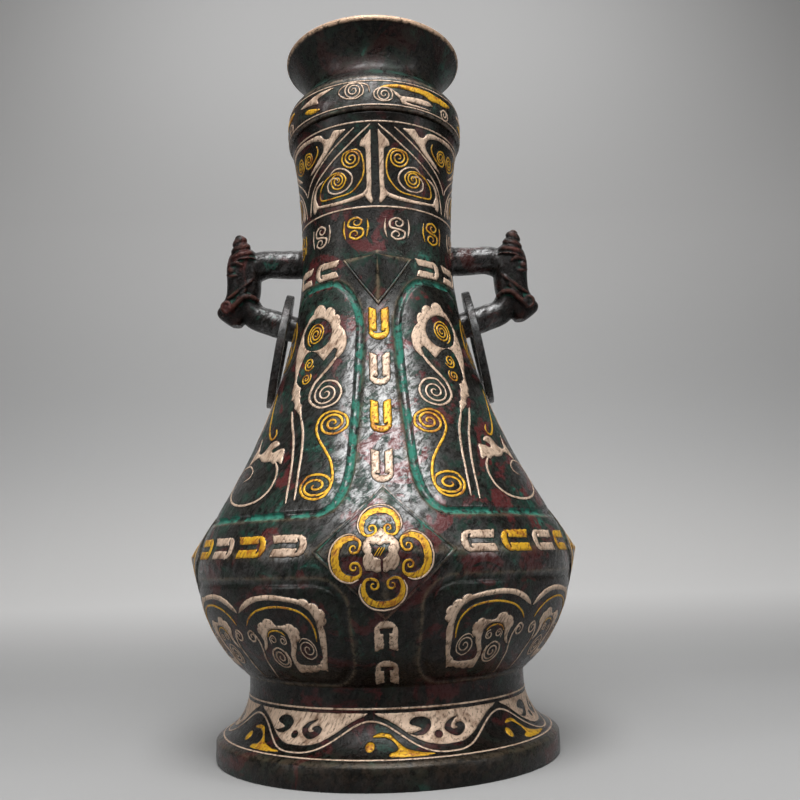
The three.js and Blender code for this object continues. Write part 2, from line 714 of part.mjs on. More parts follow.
// Top of the lower arm at a distance from the pot's axis
function lowerArmTop(x) {
  const lowerHalf = loopPath().getPoints(120)
    .filter((point) => point.z < UPPER_ARM_Z - ARM_SPACING / 2);
  const nearer = (best, point) => (Math.abs(point.x - x) < Math.abs(best.x - x) ? point : best);
  const nearest = lowerHalf.reduce(nearer);
  return nearest.z + LOWER_ARM_RADIUS;
}

// The ring swings about the middle of its own band, just above the arm that it rests on.
const RING_BAND_RADIUS = (RING_RADIUS + RING_HOLE_RADIUS) / 2;
const RING_PIVOT_X = radiusAt(LOWER_ARM_Z + LOWER_ARM_RADIUS) + RING_STAND_OFF;
const RING_PIVOT_Z = lowerArmTop(RING_PIVOT_X) + RING_REST_GAP + RING_BAND_RADIUS - RING_HOLE_RADIUS;

// Least lean at which no point of the hoop's inner face comes nearer than the gap
function ringLean() {
  const clears = (lean) => {
    for (let turn = 0; turn < 360; turn += 5) {
      for (const radius of [RING_HOLE_RADIUS, RING_RADIUS]) {
        const drop = RING_BAND_RADIUS + radius * Math.cos(radians(turn));
        const x = RING_PIVOT_X + drop * Math.sin(lean) - RING_THICKNESS / 2 * Math.cos(lean);
        const z = RING_PIVOT_Z - drop * Math.cos(lean) - RING_THICKNESS / 2 * Math.sin(lean);
        const fromAxis = Math.hypot(x, radius * Math.sin(radians(turn)));
        if (fromAxis < radiusAt(z) + TABLET_PROUD + SEAT_GAP) {
          return false;
        }
      }
    }
    return true;
  };
  let lean = 0;
  while (!clears(lean)) {
    lean += radians(0.1);
  }
  return lean;
}

function ringGeometry() {
  const half = RING_THICKNESS / 2;
  const edge = 0.5;
  const profile = [
    point2(RING_HOLE_RADIUS, -half),
    point2(RING_RADIUS - edge, -half),
    point2(RING_RADIUS, -half + edge),
    point2(RING_RADIUS, half - edge),
    point2(RING_RADIUS - edge, half),
    point2(RING_HOLE_RADIUS, half),
    point2(RING_HOLE_RADIUS, -half),
  ];
  return new THREE.LatheGeometry(profile, 32).rotateZ(Math.PI / 2);
}

function ring(name, side) {
  const lean = ringLean();
  const hoop = mesh(name, toGeometry(toSolid(ringGeometry())), DARK_BRONZE);
  hoop.rotation.y = -side * lean;
  hoop.position.set(
    side * (RING_PIVOT_X + RING_BAND_RADIUS * Math.sin(lean)), 0,
    RING_PIVOT_Z - RING_BAND_RADIUS * Math.cos(lean));
  return hoop;
}

// Assembly

function mesh(name, geometry, finish) {
  const piece = new THREE.Mesh(geometry, new THREE.MeshStandardMaterial(finish));
  piece.name = name;
  return piece;
}

const pot = new THREE.Group();
const tablets = tabletList();

const vessel = new THREE.Group();
vessel.add(mesh('vessel_body', toGeometry(vesselBody(tablets)), BRONZE));
tablets.forEach((tablet) => {
  const finish = tablet.metal === 'gold' ? GOLD : SILVER;
  vessel.add(mesh(tablet.name, toGeometry(tabletSolid(tablet)), finish));
});
Object.keys(SIDES).forEach((side, k) => {
  vessel.add(mesh(`silver_boss_plate_${side}`, toGeometry(bossPlateSolid(BELLY_BOSSES[k])), SILVER));
});
const rightHandle = handle();
vessel.add(mesh('handle_right', toGeometry(rightHandle), DARK_BRONZE));
vessel.add(mesh('handle_left', toGeometry(rightHandle.mirror([1, 0, 0])), DARK_BRONZE));
pot.add(vessel);

pot.add(mesh('lid', toGeometry(lid()), BRONZE));
pot.add(ring('ring_right', 1));
pot.add(ring('ring_left', -1));

export default pot;
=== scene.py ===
"""Looks of a lidded ritual pot of cast bronze, inlaid with silver and gold.

The shape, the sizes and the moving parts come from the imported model; this script gives every
piece its surface, its inlays and its metal. Lengths in the script are millimetres until a mesh
is made, angles are degrees turned from the front of the pot towards its right handle.
"""

import math

import bpy
import numpy as np
from mathutils.geometry import delaunay_2d_cdt
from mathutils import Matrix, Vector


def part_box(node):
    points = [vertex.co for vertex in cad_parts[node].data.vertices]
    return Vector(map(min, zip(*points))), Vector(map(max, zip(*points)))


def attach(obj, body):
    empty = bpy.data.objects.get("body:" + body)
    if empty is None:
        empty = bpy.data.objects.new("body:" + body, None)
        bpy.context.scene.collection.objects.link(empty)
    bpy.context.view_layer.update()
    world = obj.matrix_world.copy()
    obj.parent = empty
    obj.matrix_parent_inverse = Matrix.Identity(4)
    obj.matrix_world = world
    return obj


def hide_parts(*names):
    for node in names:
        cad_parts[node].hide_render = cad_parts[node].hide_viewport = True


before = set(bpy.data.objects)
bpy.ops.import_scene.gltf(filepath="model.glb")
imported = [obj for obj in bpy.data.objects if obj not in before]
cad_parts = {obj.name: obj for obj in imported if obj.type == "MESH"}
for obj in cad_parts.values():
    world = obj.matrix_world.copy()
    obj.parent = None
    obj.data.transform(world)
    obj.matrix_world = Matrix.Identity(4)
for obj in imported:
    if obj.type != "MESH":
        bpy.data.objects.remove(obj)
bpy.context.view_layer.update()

# The vessel: a thin bronze casting on a hollow foot, whose sunk grooves raise four pillowy
# panels above the belly and four below it. Its skin is nearly black, with green in the grooves,
# maroon patches and a grey bloom in patches, partly dry bloom and partly painted sheen. Painted
# shade darkens its grooves, the rim under the lid and, with a darker brown, the body below the
# belly.
MM = 0.001
SIDES = {"front": 0, "right": 90, "back": 180, "left": 270}
MOUTH_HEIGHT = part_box("vessel_body")[1].z / MM
FOOT_RADIUS = 67.8
PLINTH_HEIGHT = 8.0
WAIST_RADIUS = 55.0
WAIST_HEIGHT = 29.0
BOSS_RISE = 4.6
BELLY_RADIUS = 76.0
BELLY_HEIGHT = 76.0
NECK_RADIUS = 33.0
NECK_BASE_HEIGHT = 196.0
MOUTH_RADIUS = 37.4
WALL = 1.9
GROOVE_DEPTH = 0.9
GROOVE_HALF_WIDTH = 1.6
PANEL_RISE = 1.5
PANEL_SOFTNESS = 4.6


def between(low, high, share):
    return low + (high - low) * share


def bezier(*points, count=24):
    share = np.linspace(0, 1, count + 1)[:, None]
    rows = [np.repeat(np.array([point], float), count + 1, axis=0) for point in points]
    while len(rows) > 1:
        rows = [a * (1 - share) + b * share for a, b in zip(rows, rows[1:])]
    return rows[0]


def vessel_outline():
    """Radius and height of the casting's face, from the plinth to the mouth."""
    shoulder_point = (
        between(NECK_RADIUS, BELLY_RADIUS, 0.82), between(BELLY_HEIGHT, NECK_BASE_HEIGHT, 0.142))
    foot_edge = [
        (FOOT_RADIUS - 0.5, 0), (FOOT_RADIUS, 0.6), (FOOT_RADIUS, PLINTH_HEIGHT - 0.6),
        (FOOT_RADIUS - 0.5, PLINTH_HEIGHT + 0.2), (FOOT_RADIUS - 1.4, PLINTH_HEIGHT + 0.8)]
    flare = bezier(
        (FOOT_RADIUS - 1.6, PLINTH_HEIGHT + 1),
        (between(WAIST_RADIUS, FOOT_RADIUS, 0.4), PLINTH_HEIGHT + 3.5),
        (WAIST_RADIUS, between(PLINTH_HEIGHT, WAIST_HEIGHT, 0.43)),
        (WAIST_RADIUS, WAIST_HEIGHT - 2))
    bowl = bezier(
        (WAIST_RADIUS, WAIST_HEIGHT + 2),
        (between(WAIST_RADIUS, BELLY_RADIUS, 0.38), between(WAIST_HEIGHT, BELLY_HEIGHT, 0.19)),
        (between(WAIST_RADIUS, BELLY_RADIUS, 0.95), between(WAIST_HEIGHT, BELLY_HEIGHT, 0.49)),
        (BELLY_RADIUS, BELLY_HEIGHT - 2))
    turn_in = bezier(
        (BELLY_RADIUS, BELLY_HEIGHT - 2), (BELLY_RADIUS, BELLY_HEIGHT + 5.2), shoulder_point)
    shoulder = bezier(
        shoulder_point,
        (between(NECK_RADIUS, BELLY_RADIUS, 0.36),
         between(BELLY_HEIGHT, NECK_BASE_HEIGHT, 0.392)),
        (NECK_RADIUS + 2.41, between(BELLY_HEIGHT, NECK_BASE_HEIGHT, 0.725)),
        (NECK_RADIUS + 0.2, NECK_BASE_HEIGHT))
    neck = bezier(
        (NECK_RADIUS + 0.2, NECK_BASE_HEIGHT),
        (NECK_RADIUS - 0.6, between(NECK_BASE_HEIGHT, MOUTH_HEIGHT, 0.26)),
        (NECK_RADIUS + 0.2, between(NECK_BASE_HEIGHT, MOUTH_HEIGHT, 0.69)),
        (MOUTH_RADIUS, MOUTH_HEIGHT))
    return np.vstack([foot_edge, flare, bowl, turn_in[1:], shoulder[1:], neck[1:]])


OUTLINE = vessel_outline()
OUTLINE_RUN = np.concatenate([[0], np.cumsum(np.hypot(*np.diff(OUTLINE, axis=0).T))])


def radius_at(z):
    return np.interp(z, OUTLINE[:, 1], OUTLINE[:, 0])


def run_at(z):
    """Length of the outline from the foot up to a height."""
    return np.interp(z, OUTLINE[:, 1], OUTLINE_RUN)


# A panel's corners are given by their height and by the degrees over which they round off
UPPER_PANEL = dict(
    bottom=90.5, top=185.5, low_corner=(18, 8), high_corner=(23, 23), strength=1.0)
LOWER_PANEL = dict(
    bottom=33.0, top=67.5, low_corner=(9, 8), high_corner=(9, 8), strength=0.6)
PANELS = (UPPER_PANEL, LOWER_PANEL)
STRAP_HALF_ANGLE = 11.0
TABLE_DEGREES = 0.25
TABLE_MILLIMETRES = 0.5
TABLE_MARGIN = 5.0


def panel_edge(panel, z):
    """Angle from a strap's middle to the panel's edge, which rounds off at both ends."""
    edge = np.full(np.shape(z), STRAP_HALF_ANGLE)
    for (height, sweep), from_end in (
        (panel["low_corner"], z - panel["bottom"]),
        (panel["high_corner"], panel["top"] - z),
    ):
        share = np.clip(1 - from_end / height, 0, 1)
        edge = edge + sweep * (1 - np.sqrt(1 - share ** 2))
    return edge


def edge_distances(panel):
    """Table of the distance inward from the panel's edge, over half a panel."""
    z_line = np.linspace(panel["bottom"], panel["top"], 240)
    side = np.stack([panel_edge(panel, z_line), z_line], 1)
    ends = []
    for z_end in (panel["bottom"], panel["top"]):
        start = float(panel_edge(panel, np.array(z_end)))
        angles = np.linspace(start, 90 - start, 60)
        ends.append(np.stack([angles, np.full(60, z_end)], 1))
    line = np.vstack([side, *ends])
    angles = np.arange(0, 45 + TABLE_DEGREES, TABLE_DEGREES)
    heights = np.arange(
        panel["bottom"] - TABLE_MARGIN, panel["top"] + TABLE_MARGIN + 0.01, TABLE_MILLIMETRES)
    table = np.zeros((len(heights), len(angles)))
    for row, z in enumerate(heights):
        across = np.radians(angles[:, None] - line[None, :, 0]) * radius_at(z)
        along = (run_at(z) - run_at(line[:, 1]))[None, :]
        nearest = np.sqrt((across ** 2 + along ** 2).min(1))
        within = (angles > panel_edge(panel, np.array(z))) & (panel["bottom"] < z < panel["top"])
        table[row] = np.where(within, nearest, -nearest)
    return dict(low=heights[0], table=table)


for panel in PANELS:
    panel["distances"] = edge_distances(panel)


def inward_distance(panel, angle, z):
    table = panel["distances"]["table"]
    from_strap = np.abs((angle + 45) % 90 - 45)
    above = z - panel["distances"]["low"]
    column = np.clip(from_strap / TABLE_DEGREES, 0, table.shape[1] - 1.001)
    row = np.clip(above / TABLE_MILLIMETRES, 0, table.shape[0] - 1.001)
    c, r = column.astype(int), row.astype(int)
    s, t = column - c, row - r
    lower = table[r, c] * (1 - s) + table[r, c + 1] * s
    upper = table[r + 1, c] * (1 - s) + table[r + 1, c + 1] * s
    return lower * (1 - t) + upper * t


def relief(angle, z):
    """Height of panels and grooves over the plain outline."""
    height = np.zeros(np.broadcast(angle, z).shape)
    for panel in PANELS:
        inward = inward_distance(panel, angle, z)
        across_groove = np.clip(inward / GROOVE_HALF_WIDTH, -1, 1)
        past_groove = np.clip(inward - 0.6, 0, None)
        height -= panel["strength"] * GROOVE_DEPTH * (1 - across_groove ** 4) ** 1.5
        height += panel["strength"] * PANEL_RISE * (1 - np.exp(-past_groove / PANEL_SOFTNESS))
    return height


def around(angle, z, radius):
    turn = np.radians(angle)
    return np.stack(np.broadcast_arrays(radius * np.sin(turn), -radius * np.cos(turn), z), -1)


def skin(angle, z):
    angle, z = np.broadcast_arrays(np.asarray(angle, float), np.asarray(z, float))
    return around(angle, z, radius_at(z) + relief(angle, z))


def lifted(surface, u, v, lift, step=0.2):
    """Points of a two-way surface, moved out square to it."""
    u, v = np.broadcast_arrays(np.asarray(u, float), np.asarray(v, float))
    along_u = surface(u + step, v) - surface(u - step, v)
    along_v = surface(u, v + step) - surface(u, v - step)
    normal = np.cross(along_u, along_v)
    normal /= np.linalg.norm(normal, axis=-1, keepdims=True)
    return surface(u, v) + normal * np.asarray(lift, float)[..., None]


def make_object(name, points, faces, materials, face_material=None):
    """Mesh object from points in millimetres, its faces as corner lists."""
    mesh = bpy.data.meshes.new(name)
    mesh.from_pydata((np.asarray(points) * MM).tolist(), [], [list(map(int, f)) for f in faces])
    for material in materials:
        mesh.materials.append(material)
    if face_material is not None:
        mesh.polygons.foreach_set("material_index", np.asarray(face_material, np.int32))
    mesh.polygons.foreach_set("use_smooth", [True] * len(mesh.polygons))
    mesh.validate()
    mesh.update()
    thing = bpy.data.objects.new(name, mesh)
    bpy.context.scene.collection.objects.link(thing)
    return thing


def grid_faces(rows, columns, closed=True, first=0):
    """Quads between the rows of a grid; a closed grid joins its last column to its first."""
    r = np.arange(rows - 1)[:, None]
    c = np.arange(columns if closed else columns - 1)[None, :]
    here = first + r * columns + c
    beside = first + r * columns + (c + 1) % columns
    return np.stack([here, beside, beside + columns, here + columns], -1).reshape(-1, 4)


def closed_rows(rows):
    """Points and faces of the skin over a stack of rings, capped at both ends."""
    count = len(rows[0])
    faces = [tuple(face) for face in grid_faces(len(rows), count)]
    faces.append(tuple(range(count))[::-1])
    faces.append(tuple((len(rows) - 1) * count + k for k in range(count)))
    return np.concatenate(rows), faces


def set_attribute(thing, name, values):
    layer = thing.data.attributes.new(name, "FLOAT", "POINT")
    layer.data.foreach_set("value", np.asarray(values, np.float32).ravel())


def add_node(tree, kind, values=None, **settings):
    """A node with its settings, its sockets set or linked."""
    node = tree.nodes.new(kind)
    for key, value in settings.items():
        setattr(node, key, value)
    for socket, value in (values or {}).items():
        if isinstance(value, bpy.types.NodeSocket):
            tree.links.new(value, node.inputs[socket])
        else:
            node.inputs[socket].default_value = value
    return node


def noise(tree, vector, scale, detail=4.0, roughness=0.55, distortion=0.0):
    node = add_node(tree, "ShaderNodeTexNoise", values={
        "Vector": vector, "Scale": scale, "Detail": detail, "Roughness": roughness,
        "Distortion": distortion})
    return node.outputs["Fac"]


def ramp(tree, value, low, high):
    """Value stretched so that low gives 0 and high gives 1, with soft ends."""
    node = add_node(tree, "ShaderNodeMapRange", values={
        "Value": value, "From Min": low, "From Max": high}, interpolation_type="SMOOTHSTEP")
    return node.outputs["Result"]


def math_node(tree, operation, first, second, clamp=False):
    node = add_node(
        tree, "ShaderNodeMath", values={0: first, 1: second}, operation=operation,
        use_clamp=clamp)
    return node.outputs[0]


def times(tree, first, second, clamp=False):
    return math_node(tree, "MULTIPLY", first, second, clamp)


def plus(tree, first, second, clamp=False):
    return math_node(tree, "ADD", first, second, clamp)


def minus(tree, first, second, clamp=False):
    return math_node(tree, "SUBTRACT", first, second, clamp)


def blend(tree, share, first, second):
    """First colour where the share is 0, second where it is 1."""
    node = add_node(tree, "ShaderNodeMix", data_type="RGBA", values={
        0: share, 6: first, 7: second})
    return node.outputs[2]


def scaled(tree, value, low, high, to_low, to_high):
    """Value between low and high carried over to another span in a straight line."""
    node = add_node(tree, "ShaderNodeMapRange", values={
        "Value": value, "From Min": low, "From Max": high, "To Min": to_low, "To Max": to_high})
    return node.outputs["Result"]


def drawn_out(tree, place, turn, length):
    """The place stretched along a slanted line, for scratches and hammer strokes."""
    node = add_node(tree, "ShaderNodeMapping", vector_type="TEXTURE", values={
        "Vector": place, "Rotation": turn, "Scale": (1.0, 1.0, length)})
    return node.outputs["Vector"]


def new_group(name, inputs, outputs):
    """Empty node group with named sockets, and its input node's sockets."""
    group = bpy.data.node_groups.new(name, "ShaderNodeTree")
    kinds = {"color": "NodeSocketColor", "value": "NodeSocketFloat", "vector": "NodeSocketVector"}
    for label, kind, value in inputs:
        socket = group.interface.new_socket(label, in_out="INPUT", socket_type=kinds[kind])
        if value is not None:
            socket.default_value = value
    for label, kind in outputs:
        group.interface.new_socket(label, in_out="OUTPUT", socket_type=kinds[kind])
    given = group.nodes.new("NodeGroupInput").outputs
    result = group.nodes.new("NodeGroupOutput").inputs
    return group, given, result


def patina_group():
    """Aged skin of cast bronze: dark mottled metal, green and maroon stains, bloom, scratches.

    The grey bloom is partly dry bloom and partly painted sheen, the hollows get painted shade,
    and edges are brightened partly as wear and partly as a painted highlight.
    """
    tree, given, result = new_group("aged bronze skin", [
        ("Position", "vector", None),
        ("Dark", "color", (0.0035, 0.003, 0.0022, 1)),
        ("Light", "color", (0.015, 0.013, 0.0095, 1)),
        ("Green", "color", (0.006, 0.034, 0.022, 1)),
        ("Turquoise", "color", (0.032, 0.2, 0.145, 1)),
        ("Maroon", "color", (0.095, 0.012, 0.013, 1)),
        ("Bloom", "color", (0.15, 0.155, 0.135, 1)),
        ("Worn", "color", (0.2, 0.15, 0.095, 1)),
        ("Green Amount", "value", 0.5),
        ("Maroon Amount", "value", 0.5),
        ("Bloom Amount", "value", 0.5),
        ("Polish Amount", "value", 0.9),
        ("Groove", "value", 0.0),
        ("Edge", "value", 0.0),
    ], [("Color", "color"), ("Roughness", "value"), ("Metal", "value"), ("Polish", "value"),
        ("Height", "value")])
    place = given["Position"]
    elsewhere = add_node(tree, "ShaderNodeVectorMath", operation="ADD", values={
        0: place, 1: (3.1, 1.7, 0.4)}).outputs["Vector"]
    broad = noise(tree, place, 26.0, 3.0, 0.6, 0.6)
    patches = noise(tree, place, 62.0, 5.0, 0.65, 1.2)
    stains = noise(tree, elsewhere, 38.0, 5.0, 0.62, 1.6)
    mottle = noise(tree, place, 340.0, 5.0, 0.75)
    grain = noise(tree, place, 1500.0, 3.0, 0.65)
    pits = add_node(tree, "ShaderNodeTexVoronoi", values={
        "Vector": place, "Scale": 620.0, "Randomness": 1.0}).outputs["Distance"]
    streaks = drawn_out(tree, place, (0.1, 0.75, 0.1), 6.0)
    scratches = ramp(tree, noise(tree, streaks, 2300.0, 2.0, 0.7), 0.54, 0.72)

    # Dark metal with green patches, turquoise in their hearts, and maroon stains
    base = blend(tree, ramp(tree, mottle, 0.4, 0.68), given["Dark"], given["Light"])
    green_patches = times(tree, ramp(tree, patches, 0.48, 0.57), ramp(tree, mottle, 0.4, 0.5))
    green_mask = times(tree, green_patches, given["Green Amount"])
    base = blend(tree, green_mask, base, given["Green"])
    hearts = times(tree, ramp(tree, patches, 0.59, 0.68), ramp(tree, mottle, 0.46, 0.56))
    base = blend(tree, times(tree, hearts, given["Green Amount"]), base, given["Turquoise"])
    stained = times(tree, ramp(tree, stains, 0.55, 0.6), ramp(tree, mottle, 0.36, 0.46))
    base = blend(tree, times(tree, stained, given["Maroon Amount"]), base, given["Maroon"])

    # Grey bloom in grains and scratches over broad patches: partly dry bloom, partly painted sheen
    rubbed = times(tree, ramp(tree, broad, 0.4, 0.62), given["Bloom Amount"])
    bloom_and_sheen_specks = plus(
        tree, times(tree, ramp(tree, grain, 0.48, 0.66), 0.8), times(tree, scratches, 0.8))
    base = blend(tree, times(tree, rubbed, bloom_and_sheen_specks, clamp=True), base, given["Bloom"])

    # Painted shade darkens the hollows, which also hold a turquoise crust where the skin is green;
    # edges turn bright, partly as wear and partly as a painted highlight
    base = blend(tree, times(tree, given["Groove"], 0.5, clamp=True), base, given["Dark"])
    crust_patches = times(tree, ramp(tree, patches, 0.425, 0.54), ramp(tree, mottle, 0.35, 0.47))
    crust = times(tree, ramp(tree, given["Groove"], 0.12, 0.6), crust_patches, clamp=True)
    crust = times(tree, crust, ramp(tree, given["Green Amount"], 0.2, 0.6))
    crust_color = blend(
        tree, ramp(tree, mottle, 0.36, 0.56), given["Green"], given["Turquoise"])
    base = blend(tree, crust, base, crust_color)
    edge = times(tree, given["Edge"], ramp(tree, mottle, 0.34, 0.6), clamp=True)
    base = blend(tree, edge, base, given["Worn"])
    tree.links.new(base, result["Color"])

    corroded = plus(tree, crust, green_mask)
    rough = scaled(tree, mottle, 0.3, 0.7, 0.2, 0.34)
    rough = plus(tree, rough, times(tree, corroded, 0.25), clamp=True)
    tree.links.new(rough, result["Roughness"])
    metal = plus(tree, 0.2, times(tree, edge, 0.25))
    metal = minus(tree, metal, times(tree, corroded, 0.2), clamp=True)
    tree.links.new(metal, result["Metal"])
    slant = drawn_out(tree, place, (0.1, 0.6, 0.0), 2.6)
    touched = ramp(tree, noise(tree, slant, 420.0, 7.0, 0.85, 0.6), 0.4, 0.62)
    polish = minus(tree, touched, times(tree, corroded, 0.6), clamp=True)
    tree.links.new(times(tree, polish, given["Polish Amount"]), result["Polish"])
    height = minus(tree, times(tree, grain, 0.9), times(tree, scratches, 0.15))
    height = plus(tree, times(tree, mottle, 0.2), height)
    height = plus(tree, height, times(tree, ramp(tree, pits, 0.0, 0.3), 0.15))
    tree.links.new(height, result["Height"])
    return tree


PATINA = patina_group()
PATINA_DEPTH = 0.0006
UNTOUCHED_POLISH = 0.12
# Darker brown for the neck and the body below the belly; below the belly it is partly painted shade
# where the body faces down
BROWN_AND_SHADE = (0.013, 0.0065, 0.0045, 1)


def polish_where_handled(tree, skin_node, apart, handled):
    """Lowers the polish away from the stretch that hands polished."""
    axis, start, full_start, end, full_end = handled
    along = math_node(tree, "ABSOLUTE", apart[axis], 0.0)
    share = times(tree, ramp(tree, along, start, full_start), ramp(tree, along, end, full_end))
    full = skin_node.inputs["Polish Amount"].default_value
    share = times(tree, share, (1 - UNTOUCHED_POLISH) * full)
    amount = plus(tree, UNTOUCHED_POLISH * full, share)
    tree.links.new(amount, skin_node.inputs["Polish Amount"])


def brown_and_shade_off(tree, skin_node, height, browner_and_shaded):
    """Turns the skin plain, darker brown above and below the heights; below, partly painted shade.
    """
    share = math_node(
        tree, "MAXIMUM", ramp(tree, height, *browner_and_shaded[:2]), ramp(tree, height, *browner_and_shaded[2:]))
    given = skin_node.inputs
    light = blend(tree, share, tuple(given["Light"].default_value), BROWN_AND_SHADE)
    tree.links.new(light, given["Light"])
    for key, lost in (("Green Amount", 0.75), ("Maroon Amount", 0.5), ("Bloom Amount", 0.7)):
        full = given[key].default_value
        amount = minus(tree, full, times(tree, share, lost * full))
        tree.links.new(amount, given[key])


def bronze_material(
        name, bump=0.6, gloss=0.3, use_masks=True, browner_and_shaded=None, handled=None, **values):
    """Bronze whose skin comes from the shared patina group, under a thin polished coat.

    The brown heights, in metres, mark where the green gives way to plain, darker brown; on the
    vessel's lower body that darkening is partly painted shade. handled gives an axis and the four
    places along it between which hands polished the skin."""
    material = bpy.data.materials.new(name)
    material.use_nodes = True
    tree = material.node_tree
    shader = tree.nodes["Principled BSDF"]
    place = tree.nodes.new("ShaderNodeTexCoord").outputs["Object"]
    skin_node = add_node(tree, "ShaderNodeGroup")
    skin_node.node_tree = PATINA
    tree.links.new(place, skin_node.inputs["Position"])
    for key, value in values.items():
        skin_node.inputs[key.replace("_", " ")].default_value = value
    if use_masks:
        for mask in ("Groove", "Edge"):
            source = add_node(tree, "ShaderNodeAttribute", attribute_name=mask.lower())
            tree.links.new(source.outputs["Fac"], skin_node.inputs[mask])
    for output, socket in (
            ("Color", "Base Color"), ("Roughness", "Roughness"), ("Metal", "Metallic"),
            ("Polish", "Coat Weight")):
        tree.links.new(skin_node.outputs[output], shader.inputs[socket])
    shader.inputs["Coat Roughness"].default_value = 0.3
    shader.inputs["Coat IOR"].default_value = 2.1
    shader.inputs["Specular IOR Level"].default_value = gloss
    apart = add_node(tree, "ShaderNodeSeparateXYZ", values={"Vector": place}).outputs
    if handled is not None:
        polish_where_handled(tree, skin_node, apart, handled)
    if browner_and_shaded is not None:
        brown_and_shade_off(tree, skin_node, apart["Z"], browner_and_shaded)
    bump_node = add_node(tree, "ShaderNodeBump", values={
        "Strength": bump, "Distance": PATINA_DEPTH, "Height": skin_node.outputs["Height"]})
    tree.links.new(bump_node.outputs["Normal"], shader.inputs["Normal"])
    return material


# Below the belly the skin turns a darker brown that is partly painted shade
vessel_bronze = bronze_material(
    "bronze of the vessel", bump=0.36, gloss=0.22, browner_and_shaded=(0.192, 0.235, 0.088, 0.062),
    handled=("Z", 0.06, 0.08, 0.188, 0.15), Green_Amount=0.72, Maroon_Amount=0.9,
    Bloom_Amount=0.3)


def even_columns():
    """Angles round the whole vessel, close together along the edges of the straps."""
    eighth = np.concatenate([
        np.linspace(0, 9, 6)[:-1], np.linspace(9, 15, 15)[:-1], np.linspace(15, 45, 35)[:-1]])
    quarter = np.unique(np.concatenate([eighth, [45.0], 90 - eighth[1:]]))
    return np.concatenate([quarter + turn for turn in (0, 90, 180, 270)])


COLUMNS = even_columns()
# Stretches of the height with the step of their rows, closest where the grooves turn
ROW_STRETCHES = (
    (PLINTH_HEIGHT + 1.2, 31, 0.9), (31, 37, 0.45), (37, 63, 0.8), (63, 70, 0.45), (70, 88, 0.8),
    (88, 94, 0.45), (94, 180, 0.85), (180, 188, 0.45), (188, MOUTH_HEIGHT - 1, 1.1))
ROWS = np.unique(np.concatenate([
    OUTLINE[:6, 1], *(np.arange(*stretch) for stretch in ROW_STRETCHES),
    [MOUTH_HEIGHT - 0.8, MOUTH_HEIGHT - 0.25]]))
FLOOR_TOP = 30.2
FOOT_CEILING = 27.8
FOOT_WALL = 3.0


def ridge_mask(distance, width):
    return np.exp(-((distance / width) ** 2))


def turned_rows(rows):
    return np.stack([around(COLUMNS, z, radius) for radius, z in rows])


def vessel_mesh():
    grid_angle, grid_z = np.meshgrid(COLUMNS, ROWS)
    # Painted shadow of the lid: the rim of the mouth is darkened
    groove = 1.3 * ridge_mask(grid_z - MOUTH_HEIGHT, 1.8)
    edge = 0.3 * ridge_mask(grid_z - PLINTH_HEIGHT - 0.3, 0.8)
    edge += 0.45 * ridge_mask(grid_z - BELLY_HEIGHT - 1.5, 1.6)
    for panel in PANELS:
        inward = inward_distance(panel, grid_angle, grid_z)
        # Painted shade darkens the sunk grooves, which also hold a crust; the strap's edge beside
        # each is brightened, partly as wear and partly as a painted highlight
        groove += np.exp(-((inward / 1.5) ** 4))
        edge += 0.5 * ridge_mask(inward + 1.7, 0.6)

    # The lip, the wall inside and the bowl's floor
    inside_z = np.linspace(MOUTH_HEIGHT - 0.8, FLOOR_TOP, 70)
    slope = radius_at(inside_z + 0.5) - radius_at(inside_z - 0.5)
    inside_radius = radius_at(inside_z) - WALL * np.hypot(1, slope)
    inner = [(MOUTH_RADIUS - 0.4, MOUTH_HEIGHT), (MOUTH_RADIUS - 1.4, MOUTH_HEIGHT)]
    inner += list(zip(inside_radius, inside_z))
    inner += [(30, FLOOR_TOP), (0.4, FLOOR_TOP)]

    # The hollow foot, from the middle of its ceiling outward and down
    under = [(0.4, FOOT_CEILING), (30, FOOT_CEILING)]
    under.append((radius_at(FOOT_CEILING) - FOOT_WALL - 1, FOOT_CEILING))
    for z in (24, 20, 16, 12.8, 10, 5.6, 1, 0.4):
        under.append((float(radius_at(max(z, 0.7))) - FOOT_WALL, z))
    under += [(FOOT_RADIUS - FOOT_WALL + 0.4, 0), (FOOT_RADIUS - 0.6, 0)]

    inner_rows = turned_rows(inner)
    under_rows = turned_rows(under)
    rows = np.concatenate([under_rows, skin(grid_angle, grid_z), inner_rows])
    thing = make_object("vessel", *closed_rows(rows), [vessel_bronze])
    blank_under = np.zeros(under_rows.shape[:2])
    blank_inner = np.zeros(inner_rows.shape[:2])
    set_attribute(thing, "groove", np.concatenate([blank_under, groove, blank_inner]))
    set_attribute(thing, "edge", np.concatenate([blank_under, edge, blank_inner]))
    return thing


vessel = vessel_mesh()
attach(vessel, "vessel")
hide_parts("vessel_body")

# Six bosses cast on the body: four diamonds on the belly and a half diamond under the neck at
# the front and the back. Each is four flat facets that meet in ridges made bright, partly as
# wear and partly as a painted highlight; painted shade darkens the engraved line and the foot.
NECK_BOSS_RISE = 5.2
BOSS_STEP = 0.7
ENGRAVED_AT = 0.936


def boss_surface(side_angle, z, half_angle, up, down, rise):
    """Surface over a boss: shares across and along it, from the tip at 0, 0 to the rim."""
    tip = around(side_angle, z, radius_at(z) + rise)

    def surface(across, along):
        across, along = np.broadcast_arrays(
            np.asarray(across, float), np.asarray(along, float))
        reach = np.maximum(np.abs(across) + np.abs(along), 1e-6)
        tall = np.where(along > 0, up, down)
        angle = side_angle + across / reach * half_angle
        height = z + along / reach * tall
        rim = around(angle, height, radius_at(height) + BOSS_STEP)
        return tip + (rim - tip) * reach[..., None]

    return surface


BELLY_BOSS = dict(z=BELLY_HEIGHT + 1.5, half_angle=18.8, up=23.0, down=23.0, rise=BOSS_RISE)
NECK_BOSS = dict(
    z=NECK_BASE_HEIGHT - 1.5, half_angle=24.5, up=3.4, down=20.5, rise=NECK_BOSS_RISE)
boss_places = [(side, BELLY_BOSS) for side in SIDES] + [
    ("front", NECK_BOSS), ("back", NECK_BOSS)]


